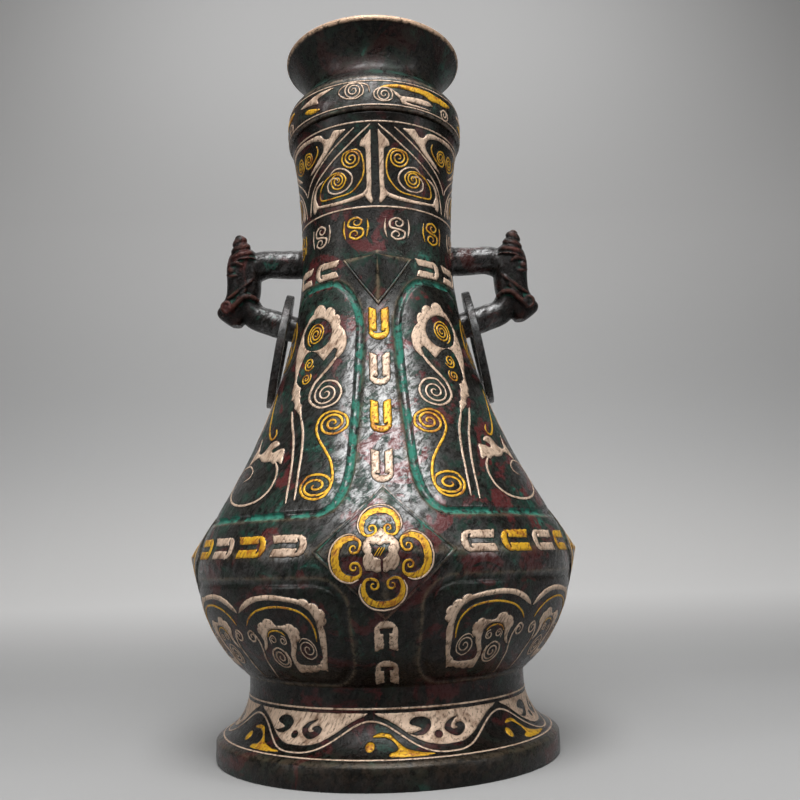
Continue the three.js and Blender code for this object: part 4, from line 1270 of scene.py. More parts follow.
# The hooks on the lower panels: two broad silver hooks to a panel, each with a gold arc under
# it, a silver comb with two legs and small spirals of silver wire, seated like the birds.
HOOK_HEIGHT = 52.0
hook_scale = scale_at(HOOK_HEIGHT)
HOOK = [
    smooth([(44.7, 57.2), (43.2, 59.6), (40.4, 61.9), (37, 63.2), (33, 63.7), (29.4, 63.4),
            (26, 62.8), (23, 62)]),
    lobes((23, 62), (20.2, 60.6), (17.7, 58.8), (16.3, 56), (17, 53.4), bulge=0.3, hand=-1),
    smooth([(17, 53.4), (16.6, 50.4), (16.9, 47.2), (17.4, 43.6), (18.2, 40.4), (18.9, 37.4)]),
    smooth([(18.9, 37.4), (20.2, 38.8), (20.4, 40.6), (19, 42.4), (18.7, 45.4), (18.6, 49),
            (18.6, 52.6), (19, 55.4), (20.2, 58.2), (22.6, 60.2), (25.4, 61.1), (29, 61.7),
            (33, 61.9), (36.4, 61.5), (39.2, 60.4), (42, 58.7)]),
]
COMB = [
    smooth([(19.2, 40.4), (21, 40), (22.4, 39.6), (25, 39.6), (27.4, 39.9), (28.2, 41.4),
            (27.6, 43.6), (26.4, 46), (26, 48)]),
    lobes((26, 48), (24.7, 50.2), (25.6, 52.8), (28, 53.6), bulge=0.3, hand=1),
    smooth([(28, 53.6), (30.2, 53.3), (31.6, 53.6), (32.6, 55.2), (34.6, 55.6), (36, 54.2)]),
    lobes((36, 54.2), (37.9, 52.6), (38, 50.2), bulge=0.28, hand=1),
    smooth([(38, 50.2), (37.6, 47.4), (38.8, 44.6), (37.2, 45.6), (36.2, 47.8), (35.6, 50),
            (34, 51.8), (31.6, 52.4), (29.6, 52), (28.2, 50.4), (27.9, 47.6), (28.5, 45.2),
            (29.4, 43), (29.6, 40.4), (29.2, 37.2)]),
    lobes((29.2, 37.2), (26.6, 37.4), (24, 37.4), (21.4, 38.2), (19.2, 38.4), bulge=0.2, hand=1),
]
HOOK_ARC = [
    (42.6, 53), (41, 55.4), (38, 57.8), (34.8, 59), (31, 59.6), (27, 59.3), (23.6, 58.2),
    (21.3, 56.2), (20, 53.8), (19.5, 50.8), (19.6, 48)]

COMB_ARC = [(35.4, 49.4), (34.3, 51), (32.2, 51.6), (30.2, 51), (29.1, 49.8)]
# Silver wires with their widths, the middle of the spiral at their end and its turns
HOOK_WIRES = (
    ([(30.9, 44.4), (30.5, 41.4), (31.9, 39), (34.6, 38.8), (36.4, 41.2), (35.8, 44.2),
      (33.7, 45.6)], 0.55, (33.4, 42.2), 2.0),
    ([(41.2, 33.8), (40.6, 37.4), (40.4, 41.2), (39.6, 44.4), (39.6, 48), (41.4, 51.2),
      (43.2, 50.4)], [0.45, 0.6, 0.65, 0.55], (41.7, 49.2), 1.2),
    ([(25.2, 47.6), (23.8, 49), (21.8, 48.4), (20.5, 46), (20.8, 43.2), (22.6, 41.8)],
     [0.3, 0.42], (22.9, 45.2), 1.8),
    ([(34.9, 46.9), (35, 48.8), (33.9, 49.9)], 0.42, (33.8, 48.5), 1.2),
    ([(30.6, 49.9), (29.5, 49.2), (29.4, 47.6)], 0.42, (30.4, 48.1), 1.2),
)

for end, side, sense in QUARTERS:
    for from_strap, turned in ((SIDES[end], sense), (SIDES[end] + 90 * sense, -sense)):
        place = panel_place(from_strap, turned, hook_scale)
        near = "strap" if turned == sense else "handle"
        silver_bodies = [
            plate_body(place, flat(np.vstack(HOOK), hook_scale), spacing=0.9),
            plate_body(place, flat(np.vstack(COMB), hook_scale)),
        ]
        for trace, width, last, turns in HOOK_WIRES:
            silver_bodies.append(
                leaf_line(place, trace, hook_scale, width, last=last, turns=turns))
        gold_bodies = [
            leaf_line(place, HOOK_ARC, hook_scale, [0.55, 0.75, 0.7, 0.5]),
            leaf_line(place, COMB_ARC, hook_scale, [0.4, 0.6, 0.4]),
        ]
        join_bodies(f"silver_hook_{end}_{side}_by_{near}", silver_bodies, "silver")
        join_bodies(f"gold_arc_{end}_{side}_by_{near}", gold_bodies, "gold")

# The wave round the foot: a field of sheet silver whose lower edge rolls in seven crests, cut
# through with comma shapes, and under each crest a gold comma and a gold dot.
WAVES = 7
WAVE_PITCH = 360 / WAVES
FIRST_CREST = -6.0
WAVE_HEIGHT = 17.0
HIGH_LINE = 24.1
LOW_LINE = 9.6
FIELD_TOP = 22.7
FIELD_TROUGH = 12.6
LINE_TROUGH = 10.7
LINE_CREST = 20.2
wave_scale = scale_at(WAVE_HEIGHT)


def wave_edge(trough, crest):
    """Edge of the wave over one repeat, crest to crest, as degrees from the crest and height."""
    share = np.linspace(0, 1, 41)
    lift = (0.5 + 0.5 * np.cos(2 * math.pi * share)) ** 1.4
    return np.stack([WAVE_PITCH * share, trough + (crest - trough) * lift], 1)


FIELD_HOLES = (
    leaf((13.4, 19), (17, 17.8), (16.8, 17), (13.8, 16.3), (12.2, 16.7), (14.8, 15.6),
         (18, 15.7), (20.4, 17.2), (21.2, 19.5), (19, 21), (16, 21.1), (14.2, 20.4)),
    oval((23.2, 15.5), 1.5, 1.2, 10),
    leaf((31.8, 20.6), (28.2, 19.6), (25.9, 17.8), (26.1, 16.2), (28.3, 14.7), (30.6, 14.5),
         (33, 15.8), (33.8, 17.4), (32.4, 18.5), (30.4, 18.2), (29.8, 17.4), (30.6, 16.9),
         (29.2, 16.5), (28.2, 17.4), (29.4, 19)),
)
GOLD_COMMA = leaf(
    (0.8, 15.6), (3.2, 16.6), (6.3, 16.2), (8.7, 14.3), (11.4, 12.2), (15.9, 11.1),
    (20.2, 10.5), (14, 10.1), (7.2, 10.2), (6.2, 10.9), (8.6, 11.6), (8.8, 12.8),
    (7.6, 14.2), (5.2, 15.4), (2.4, 15.4), steps=4)
GOLD_DOT = oval((0, 12.8), 1.5, 1.4, 12)


def round_line(height, width, scale, surface=skin, count=560):
    """A wire laid right round a casting, its ends butted together at the back."""
    place = panel_place(180, 1, scale, surface)
    path = np.stack([np.linspace(0, 360 * scale, count), np.full(count, height)], 1)
    return line_body(place, path, width, taper=1.0, spacing=0.8)


wave_line = np.vstack([
    wave_edge(LINE_TROUGH, LINE_CREST)[:-1] + [WAVE_PITCH * k, 0] for k in range(WAVES)])
wave_line = np.vstack([wave_line, (360, LINE_CREST)])
wave_silver = [
    round_line(HIGH_LINE, 0.6, scale_at(HIGH_LINE)),
    round_line(LOW_LINE, 0.6, scale_at(LOW_LINE)),
    line_body(
        panel_place(FIRST_CREST, 1, wave_scale), flat(wave_line, wave_scale), 0.6, taper=1.0),
]
wave_gold = []
for k in range(WAVES):
    place = panel_place(FIRST_CREST + k * WAVE_PITCH, 1, wave_scale)
    lower = wave_edge(FIELD_TROUGH, FIELD_TOP - 0.6)[2:-2]
    upper = [(WAVE_PITCH - 1.2, FIELD_TOP), (1.2, FIELD_TOP)]
    field = flat(np.vstack([lower, upper]), wave_scale)
    holes = [flat(hole, wave_scale) for hole in FIELD_HOLES]
    wave_silver.append(plate_body(place, field, holes=holes))
    wave_gold.append(plate_body(place, GOLD_DOT))
    wave_gold.append(plate_body(place, flat(GOLD_COMMA, wave_scale)))
join_bodies("silver_wave", wave_silver, "silver")
join_bodies("gold_commas", wave_gold, "gold")

# The triangles on the neck: three upright and three hanging, drawn in silver wire between two
# silver lines and full of silver leaves and gold spirals.
NECK_LOW_LINE = 216.7
NECK_HIGH_LINE = 252.7
NECK_MIDDLE = 234.0
neck_scale = scale_at(NECK_MIDDLE)
TRIANGLE_SIDE = [
    (2.6, 251.6), (5.4, 250), (10.1, 247.7), (18.5, 243.6), (27.6, 239.8), (38.2, 235.4),
    (47.5, 231.4), (53.2, 227.2), (56.4, 221.8), (57.2, 218.6)]
TRIANGLE_OUTER_SIDE = [
    (13.4, 250.6), (23.2, 246.2), (32.9, 242.1), (42.1, 238.2), (50.6, 234.6), (56.6, 231.2),
    (59.6, 228)]
HALF_LEAF = leaf(
    (2.4, 249.2), (4.2, 248), (6.6, 246.6), (9.6, 244.4), (10, 242.6), (7.6, 242.2),
    (6.3, 241), (6.1, 237), (6.1, 230), (6.3, 225.2), (8.4, 223.2), (10, 221.8), (7.6, 221.2),
    (5.4, 219.4), (3.4, 218.2), (2.2, 219.6), (3.2, 222.4), (2.9, 228), (2.8, 236), (2.7, 243))
BASE_STRIP = leaf(
    (8.4, 222.8), (15.3, 221.6), (25.1, 220.7), (35, 220.7), (45.6, 221.4), (47.8, 223),
    (49.2, 225.6), (46.6, 228.8), (39.6, 231.4), (44.6, 230.8), (49.4, 228.6), (52.4, 225),
    (53.4, 221), (52, 218.9), (49.4, 219.4), (47.2, 220.4), (35.1, 219.4), (25.2, 219.2),
    (15.3, 219.9), (8.5, 221.2))
SMALL_GOLD = [
    (43.9, 226.6), (44.2, 224.2), (41.2, 222.9), (29.7, 222.6), (18.6, 223.4), (12.4, 226.4),
    (8.6, 230.4), (7.9, 235), (9.3, 239), (12.2, 241.2), (16.4, 241.4), (21.6, 240.4),
    (23.6, 238)]
BIG_GOLD = [
    (43.8, 226.4), (42.4, 228.6), (37.4, 231.4), (30.5, 232.9), (24.4, 232.3), (21.4, 229.8),
    (23, 227.2)]
SILVER_WHIRL = [
    (34.8, 232.2), (29.3, 234.6), (22.1, 233.8), (17.2, 231), (17, 227.8), (22, 224.9),
    (29.6, 224.2), (35.5, 225.8), (36.6, 228.4)]
HANGING_LEAF = [
    (60, 251.8), (49, 251.4), (41.6, 251.3), (38.4, 250.6), (36.6, 249.2), (34.6, 248.4),
    (31.6, 248.4), (29.4, 250), (27.2, 251), (22.6, 250.6), (19.4, 250.4), (23.8, 248.4),
    (30, 245.2), (36, 241.8), (43, 238.9), (49, 237.2), (53.4, 236.4), (49, 238.6),
    (43.4, 240.9), (38.4, 243.6), (37.4, 246), (39.6, 248.4), (45.6, 249.6), (52, 250),
    (60, 249.8)]
HANGING_GOLD = [
    (43.6, 247.2), (43, 244.6), (46.6, 241.9), (52.4, 240), (57, 240.4), (58.6, 243.2),
    (56.6, 246), (52.6, 246)]

neck_silver = [
    round_line(NECK_LOW_LINE, 0.65, scale_at(NECK_LOW_LINE)),
    round_line(NECK_HIGH_LINE, 0.6, scale_at(NECK_HIGH_LINE)),
]
neck_gold = []
for repeat in range(3):
    for mirror in (1, -1):
        place = panel_place(120 * repeat, mirror, neck_scale)
        for trace, width in ((TRIANGLE_SIDE, 0.65), (TRIANGLE_OUTER_SIDE, 0.6)):
            neck_silver.append(leaf_line(place, trace, neck_scale, width))
        neck_silver.append(leaf_line(
            place, SILVER_WHIRL, neck_scale, 0.65, last=(27.8, 229), turns=0.3))
        for outline in (BASE_STRIP, HALF_LEAF):
            neck_silver.append(plate_body(place, flat(outline, neck_scale)))
        neck_gold += [
            leaf_line(place, SMALL_GOLD, neck_scale, 0.6, last=(16.6, 237.9), turns=2.3),
            leaf_line(place, BIG_GOLD, neck_scale, 0.6, last=(27.9, 229.5), turns=2.2),
            leaf_line(place, HANGING_GOLD, neck_scale, 0.6, last=(53.6, 243.4), turns=2.0),
        ]
    place = panel_place(120 * repeat + 60, 1, neck_scale)
    hanging = flat(smooth(HANGING_LEAF, steps=3)[1:-1], neck_scale) - [60 * neck_scale, 0]
    neck_silver.append(plate_body(place, mirrored(hanging)))
join_bodies("silver_triangles", neck_silver, "silver")
join_bodies("gold_neck_spirals", neck_gold, "gold")

# The band of small cloud scrolls at the foot of the neck, inlaid in gold and silver wire by
# turns, each scroll between two upright strokes.
SCROLLS = 12
SCROLL_HEIGHT = 207.6
band_scale = scale_at(SCROLL_HEIGHT)
UPRIGHT_SCROLL = [(-3.2, -2.6), (-0.8, -4.3), (2.2, -3.4), (2.6, -0.8), (-0.6, 0.6), (-2.8, 2.2),
                  (-1.6, 4.4), (1.4, 4.6), (3.2, 3)]
SIDE_STROKES = ([(4.8, 4.2), (5.2, 0.4), (4.4, -4)], [(-4.8, 4), (-5.2, -0.2), (-4.4, -4.2)])
scroll_bodies = {"gold": [], "silver": []}
for k in range(SCROLLS):
    metal = "gold" if k % 2 == 0 else "silver"
    place = panel_place(k * 360 / SCROLLS - 15, 1, band_scale)
    lean = 12 if k % 2 == 0 else -168
    drawn = turned_by(whorl(UPRIGHT_SCROLL, first=(-0.9, -2.3), last=(0.9, 2.9), turns=0.8), lean)
    scroll_bodies[metal].append(line_body(
        place, drawn + [0, SCROLL_HEIGHT], [0.5, 0.8, 0.85, 0.8, 0.5]))
    for stroke in SIDE_STROKES:
        drawn = smooth(stroke) + [0, SCROLL_HEIGHT]
        scroll_bodies[metal].append(line_body(place, drawn, [0.45, 0.8, 0.45], taper=0.3))
for metal, bodies in scroll_bodies.items():
    join_bodies(f"{metal}_scroll_band", bodies, metal)

# The lid: a crown with a flared, hollow top, a shoulder band inlaid like the body and a plug
# that drops into the mouth, cast in one. Its rim is worn bright by the hand that lifts it.
LID_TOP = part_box("lid")[1].z / MM
LID_SEAT = MOUTH_HEIGHT + 0.3
BAND_TOP = MOUTH_HEIGHT + 15
CROWN_WAIST = between(BAND_TOP, LID_TOP, 0.37)
CROWN_RADIUS = 39.2
CROWN_WAIST_RADIUS = 30.8
CROWN_WALL = 2.1
BAND_RADIUS = 39.0
PLUG_FOOT = MOUTH_HEIGHT - 21


def lid_outside():
    return np.vstack([
        bezier(
            (BAND_RADIUS - 1.2, LID_SEAT), (BAND_RADIUS - 0.8, LID_SEAT),
            (BAND_RADIUS - 0.5, LID_SEAT + 0.5), count=5)[:-1],
        bezier(
            (BAND_RADIUS - 0.5, LID_SEAT + 0.5),
            (BAND_RADIUS + 0.5, between(LID_SEAT, BAND_TOP, 0.5)),
            (BAND_RADIUS - 0.5, BAND_TOP - 2), count=24)[:-1],
        bezier(
            (BAND_RADIUS - 0.5, BAND_TOP - 2), (BAND_RADIUS - 1, BAND_TOP + 2.5),
            (CROWN_WAIST_RADIUS, CROWN_WAIST - 5), (CROWN_WAIST_RADIUS, CROWN_WAIST),
            count=30)[:-1],
        bezier(
            (CROWN_WAIST_RADIUS, CROWN_WAIST), (CROWN_WAIST_RADIUS, LID_TOP - 11.7),
            (CROWN_RADIUS - 3.6, LID_TOP - 6), (CROWN_RADIUS - 0.9, LID_TOP - 2.9),
            count=30)[:-1],
        bezier(
            (CROWN_RADIUS - 0.9, LID_TOP - 2.9), (CROWN_RADIUS + 0.8, LID_TOP - 2.7),
            (CROWN_RADIUS + 0.7, LID_TOP - 0.1), (CROWN_RADIUS - 1.0, LID_TOP), count=14),
    ])


LID_OUTSIDE = lid_outside()


def lid_inside():
    """From the rim down the dish, across the plate, then under the plate and round the plug."""
    plate_top = BAND_TOP + WALL
    dish_radius = CROWN_WAIST_RADIUS - CROWN_WALL
    flare_radius = between(CROWN_WAIST_RADIUS, CROWN_RADIUS, 0.5) - CROWN_WALL
    band_inside = BAND_RADIUS - WALL - 0.6
    plug_middle = MOUTH_HEIGHT - 11
    return np.vstack([
        [(CROWN_RADIUS - 1.7, LID_TOP - 0.2)],
        bezier(
            (CROWN_RADIUS - CROWN_WALL, LID_TOP - 0.7), (flare_radius, LID_TOP - 5.3),
            (dish_radius, LID_TOP - 10.6), (dish_radius, CROWN_WAIST), count=24),
        [(dish_radius, plate_top + 2.2)],
        bezier(
            (dish_radius, plate_top + 2), (dish_radius - 0.2, plate_top),
            (dish_radius - 2.4, plate_top), count=6),
        [(15, plate_top), (0.3, plate_top)],
    ]), np.array([
        (0.3, BAND_TOP), (15, BAND_TOP), (band_inside - 5, BAND_TOP),
        (band_inside - 0.3, BAND_TOP - 3.8), (band_inside, BAND_TOP - 5),
        (band_inside, LID_SEAT + 2.7), (band_inside - 0.5, LID_SEAT + WALL),
        (33.2, LID_SEAT + WALL), (32.7, LID_SEAT + 1.3), (31.5, plug_middle),
        (30.4, PLUG_FOOT + 0.4), (30.8, PLUG_FOOT), (32, PLUG_FOOT), (32.6, PLUG_FOOT + 0.9),
        (33.4, plug_middle), (34.5, LID_SEAT - 0.5), (34.8, LID_SEAT),
    ])


lid_bronze = bronze_material(
    "bronze of the lid", handled=("Z", 0.24, 0.25, 0.286, 0.279), Light=(0.02, 0.015, 0.01, 1),
    Worn=(0.55, 0.37, 0.25, 1), Green_Amount=0.4, Maroon_Amount=0.2, Bloom_Amount=0.15,
    Polish_Amount=0.45)


def lid_mesh():
    inner, under = lid_inside()
    rows = np.vstack([under, LID_OUTSIDE, inner])
    angles = np.arange(0, 360, 2.0)
    points = np.stack([around(angles, z, radius) for radius, z in rows])
    thing = make_object("lid_casting", *closed_rows(points), [lid_bronze])
    z = points[:, :, 2]
    outside = np.hypot(points[:, :, 0], points[:, :, 1]) > 30.5
    edge = 2.6 * np.clip((z - LID_TOP + 2.8) / 0.8, 0, 1)
    edge += outside * (
        0.3 * ridge_mask(z - BAND_TOP + 0.3, 0.6) + 0.25 * ridge_mask(z - LID_SEAT - 0.4, 0.5))
    set_attribute(thing, "edge", edge)
    # Painted shade, with its crust, in the crease where the band turns up into the crown
    set_attribute(thing, "groove", outside * 0.5 * ridge_mask(z - BAND_TOP - 5, 1.6))
    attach(thing, "lid")
    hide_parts("lid")


lid_mesh()


def lid_face(angle, z):
    angle, z = np.broadcast_arrays(np.asarray(angle, float), np.asarray(z, float))
    low = LID_OUTSIDE[:, 1].searchsorted(LID_SEAT + 0.4)
    return around(angle, z, np.interp(z, LID_OUTSIDE[low:, 1], LID_OUTSIDE[low:, 0]))


lid_scale = math.radians(1) * BAND_RADIUS
LID_SPIRAL = [
    (-2.2, 264.2), (-3.6, 267.6), (-10.6, 269), (-18.4, 268.2), (-21.8, 265.4), (-17.6, 262.6),
    (-11, 262), (-6.6, 263.6)]
LID_SMALL_SPIRAL = [
    (15, 264), (9.6, 266.2), (4, 266.3), (0.4, 264.2), (1.4, 261.6), (6, 260.5), (11, 261.4),
    (11.8, 263.6)]
LID_FORK = leaf(
    (12.8, 265), (14.8, 264.6), (17.6, 263.2), (26, 263.6), (35.6, 263.6), (40, 262.4),
    (33.8, 261.4), (24.1, 261.2), (20.4, 261.2), (24, 260.5), (33, 260.3), (37.8, 259.9),
    (29, 259.7), (19.6, 259.7), (17.4, 260.6), (15.8, 262.4), (13.4, 263.6))
LID_FEATHER = leaf(
    (4.2, 266.6), (9.4, 268), (16.1, 268.5), (26.6, 268.6), (36, 268.4), (42.3, 267.9),
    (50, 267.6), (58, 266.9), (51.4, 264.8), (44.6, 264.9), (38.8, 264.4), (34, 265.7),
    (28.4, 266.2), (22.9, 266.4), (15, 266.8))
LID_LEFT_LEAF = leaf(
    (-53.5, 265.6), (-47.4, 266.6), (-39.7, 267.9), (-32.1, 268.6), (-25.4, 268.8),
    (-30.6, 267.4), (-37.2, 265.8), (-36.6, 263.6), (-41.2, 264.4), (-46.4, 264.6))
LID_LEFT_GOLD = leaf(
    (-48.9, 262.3), (-45.4, 263), (-40.6, 262.3), (-35.4, 261), (-40, 260.3), (-45.6, 260.9))
LID_HOOKLET = [(46.6, 261.4), (49.6, 263), (54.2, 262.4), (55, 260.6)]

LID_LINES = (BAND_TOP - 2.2, LID_SEAT + 1.7)
lid_silver = [round_line(height, 0.5, lid_scale, lid_face) for height in LID_LINES]
lid_gold = []
for repeat in range(3):
    place = panel_place(120 * repeat, 1, lid_scale, lid_face)
    lid_silver += [
        leaf_line(place, LID_SPIRAL, lid_scale, 0.5, last=(-12.4, 265.6), turns=2.6),
        leaf_line(place, LID_SMALL_SPIRAL, lid_scale, 0.5, last=(6.6, 263.4), turns=2.0),
        plate_body(place, flat(LID_FORK, lid_scale)),
        plate_body(place, flat(LID_LEFT_LEAF, lid_scale)),
        leaf_line(place, LID_HOOKLET, lid_scale, 0.7, last=(51, 261.4), turns=1.6),
    ]
    lid_gold += [
        plate_body(place, flat(LID_FEATHER, lid_scale)),
        plate_body(place, flat(LID_LEFT_GOLD, lid_scale)),
    ]
join_bodies("lid_silver_band", lid_silver, "silver", body="lid")
join_bodies("lid_gold_band", lid_gold, "gold", body="lid")

# The handles: two loops cast with a horned beast's head at the outer bend, one the mirror of
# the other. The horns are turned like sea shells, a small round eye sits under each brow, folds
# run along the cheeks and the snout rolls up into a spiral.
UPPER_ARM_HEIGHT = NECK_BASE_HEIGHT + 8
LOWER_ARM_HEIGHT = UPPER_ARM_HEIGHT - 29.5
UPPER_ARM_RADIUS = 6.2
LOWER_ARM_RADIUS = 5.7
HEAD_X = float(radius_at(UPPER_ARM_HEIGHT)) + 24.7
HEAD_DROP = 28.8
HORN_HEIGHT = 11.2
HORN_RADIUS = 5.9
CAST_GRAIN = 0.00036
dark_bronze = bronze_material(
    "dark bronze of the handles", bump=1.0, gloss=0.16, handled=("X", 0.01, 0.02, 0.057, 0.049),
    Dark=(0.003, 0.0022, 0.002, 1), Light=(0.012, 0.0055, 0.0045, 1),
    Green=(0.004, 0.008, 0.006, 1), Maroon=(0.05, 0.008, 0.006, 1),
    Worn=(0.08, 0.028, 0.02, 1), Green_Amount=0.4, Maroon_Amount=0.9, Bloom_Amount=0.05,
    Polish_Amount=0.8)


def rod_body(path, radius, sides=16):
    """Round rod along a curve in space, its radius one number or one per point."""
    path = np.asarray(path, float)
    ahead = np.gradient(path, axis=0)
    ahead /= np.linalg.norm(ahead, axis=1, keepdims=True)
    across = np.cross(ahead[0], (0.12, 0.97, 0.2))
    rows = []
    turn = np.linspace(0, 2 * math.pi, sides, endpoint=False)[:, None]
    radii = np.broadcast_to(radius, len(path))
    for point, direction, size in zip(path, ahead, radii):
        across = across - direction * np.dot(across, direction)
        across /= np.linalg.norm(across)
        up = np.cross(direction, across)
        rows.append(point + size * (np.cos(turn) * across + np.sin(turn) * up))
    return closed_rows(rows)


def on_head(reach, width, height):
    """Point of the head from the upper arm's middle, in shares of the head's drop."""
    return np.array([
        HEAD_X + reach * HEAD_DROP, width * HEAD_DROP, UPPER_ARM_HEIGHT + height * HEAD_DROP])


def loop_body():
    root = float(radius_at(UPPER_ARM_HEIGHT)) - WALL / 2
    low_root = float(radius_at(LOWER_ARM_HEIGHT)) - WALL / 2
    path = smooth([
        (root, 0, UPPER_ARM_HEIGHT),
        (root + (HEAD_X - root) * 0.35, 0, UPPER_ARM_HEIGHT),
        (root + (HEAD_X - root) * 0.72, 0, UPPER_ARM_HEIGHT),
        (HEAD_X + 0.3, 0, UPPER_ARM_HEIGHT - 5),
        (HEAD_X + 1.2, 0, (UPPER_ARM_HEIGHT + LOWER_ARM_HEIGHT) / 2),
        (HEAD_X - 3.4, 0, LOWER_ARM_HEIGHT + 6.4),
        ((low_root + HEAD_X) / 2, 0, LOWER_ARM_HEIGHT + 3),
        (low_root, 0, LOWER_ARM_HEIGHT - 0.8),
    ], steps=10)
    share = np.linspace(0, 1, len(path))
    radius = np.interp(share, [0, 0.04, 0.3, 0.5, 1], [
        UPPER_ARM_RADIUS + 0.7, UPPER_ARM_RADIUS, UPPER_ARM_RADIUS, LOWER_ARM_RADIUS,
        LOWER_ARM_RADIUS])
    radius = radius + 0.12 * np.sin(share * 23) * (share > 0.05)
    return rod_body(path, radius, sides=28)


# Sections down the head: height, back, front and half width, in shares of the head's drop
HEAD_SECTIONS = np.array([
    (0.222, -0.097, 0.188, 0.181),
    (0.122, -0.194, 0.271, 0.25),
    (-0.069, -0.215, 0.309, 0.285),
    (-0.278, -0.215, 0.300, 0.268),
    (-0.486, -0.201, 0.312, 0.235),
    (-0.625, -0.153, 0.382, 0.210),
    (-0.729, -0.09, 0.446, 0.2),
    (-0.82, -0.028, 0.42, 0.185),
    (-0.91, 0.028, 0.312, 0.15),
    (-0.965, 0.076, 0.229, 0.11),
])


def head_body():
    rows = []
    turn = np.linspace(0, 2 * math.pi, 40, endpoint=False)
    for height, back, front, half_width in np.hstack([
        smooth(HEAD_SECTIONS[:, [0, 1]], steps=5), smooth(HEAD_SECTIONS[:, [2, 3]], steps=5)]):
        c, s = np.cos(turn), np.sin(turn)
        reach = (front + back) / 2 + np.sign(c) * np.abs(c) ** 0.8 * (front - back) / 2
        # The face narrows to a bridge in front, as between the eyes
        narrow = 1 - 0.22 * np.clip(c, 0, 1)
        width = np.sign(s) * np.abs(s) ** 0.85 * half_width * narrow
        rows.append(np.stack([on_head(r, w, height) for r, w in zip(reach, width)]))
    return closed_rows(rows[::-1])


def horn_body(side):
    """A horn turned like a sea shell: a rounded ridge that winds up to the tip."""
    rows = []
    turn = np.linspace(0, 2 * math.pi, 36, endpoint=False)
    foot = on_head(0.035, side * 0.16, 0.0)
    lean = math.radians(8)
    for share in np.linspace(0, 1, 60):
        taper = (1 - 0.63 * share) * math.sqrt(max(0.02, 1 - (max(0, share - 0.8) / 0.203) ** 2))
        wind = (share * 3.6 - side * turn / (2 * math.pi)) % 1
        ridge = 0.8 + 0.27 * np.abs(np.sin(math.pi * wind)) ** 0.8
        radius = HORN_RADIUS * taper * ridge
        x = radius * np.cos(turn)
        y = radius * np.sin(turn) * 0.86
        z = np.full(len(turn), share * (HORN_HEIGHT + 1.5))
        rows.append(np.stack([
            foot[0] + x * math.cos(lean) + z * math.sin(lean), foot[1] + y,
            foot[2] - x * math.sin(lean) + z * math.cos(lean)], 1))
    return closed_rows(rows)


def ball_body(centre, radius, squash=(1, 1, 1)):
    rows = []
    turn = np.linspace(0, 2 * math.pi, 16, endpoint=False)
    for tilt in np.linspace(-math.pi / 2 + 0.15, math.pi / 2 - 0.15, 9):
        ring = np.stack([
            np.cos(tilt) * np.cos(turn), np.cos(tilt) * np.sin(turn),
            np.full(16, np.sin(tilt))], 1)
        rows.append(np.asarray(centre) + radius * ring * squash)
    return closed_rows(rows)


def face_bodies(side):
    """Brow, eye, cheek folds and rolled nostril on one side of the face."""

    def fold(stops, thickness):
        curve = smooth([on_head(r, side * w, h) for r, w, h in stops])
        size = HEAD_DROP * thickness * np.sin(np.linspace(0.5, math.pi - 0.35, len(curve))) ** 0.5
        return rod_body(curve, size, 10)

    nostril = on_head(0.275, side * 0.15, -0.705)
    turn = np.linspace(0, 2.6 * math.pi, 34)
    reach = np.linspace(3.5, 0.8, 34)
    roll = np.stack([
        nostril[0] - 0.3 + reach * np.cos(turn + 2.4),
        nostril[1] + side * np.linspace(0.9, 1.9, 34),
        nostril[2] + reach * np.sin(turn + 2.4)], 1)
    return [
        ball_body(on_head(0.2, side * 0.215, -0.15), HEAD_DROP * 0.066, (1, 0.8, 1)),
        fold([(0.02, 0.275, -0.1), (0.13, 0.262, -0.045), (0.27, 0.17, -0.09)], 0.042),
        fold([(0.1, 0.25, -0.24), (0.2, 0.225, -0.235), (0.28, 0.17, -0.2)], 0.03),
        fold([(-0.13, 0.2, -0.26), (-0.05, 0.24, -0.36), (0.06, 0.24, -0.45),
              (0.17, 0.215, -0.53), (0.27, 0.18, -0.58)], 0.036),
        fold([(-0.2, 0.14, -0.62), (-0.1, 0.21, -0.565), (0.01, 0.235, -0.575),
              (0.11, 0.225, -0.655), (0.22, 0.2, -0.76), (0.34, 0.13, -0.83)], 0.046),
        fold([(0.12, 0.232, -0.6), (0.03, 0.24, -0.52), (-0.01, 0.24, -0.45),
              (0.05, 0.245, -0.425), (0.09, 0.245, -0.47)], 0.03),
        ball_body(nostril - [0.3, 0, 0], HEAD_DROP * 0.12, (1, 0.6, 1)),
        rod_body(roll, 0.8, 8),
    ]


def fused(name, bodies, material):
    """One skin over overlapping bodies, as a casting is, with its edges softened."""
    rough = make_object(name + "_rough", *merged(bodies), [])
    remesh = rough.modifiers.new("fuse", "REMESH")
    remesh.mode = "VOXEL"
    remesh.voxel_size = CAST_GRAIN
    soften = rough.modifiers.new("soften", "SMOOTH")
    soften.factor = 0.5
    soften.iterations = 3
    graph = bpy.context.evaluated_depsgraph_get()
    mesh = bpy.data.meshes.new_from_object(rough.evaluated_get(graph))
    bpy.data.objects.remove(rough)
    mesh.name = name
    mesh.materials.clear()
    mesh.materials.append(material)
    mesh.polygons.foreach_set("use_smooth", [True] * len(mesh.polygons))
    thing = bpy.data.objects.new(name, mesh)
    bpy.context.scene.collection.objects.link(thing)
    return thing


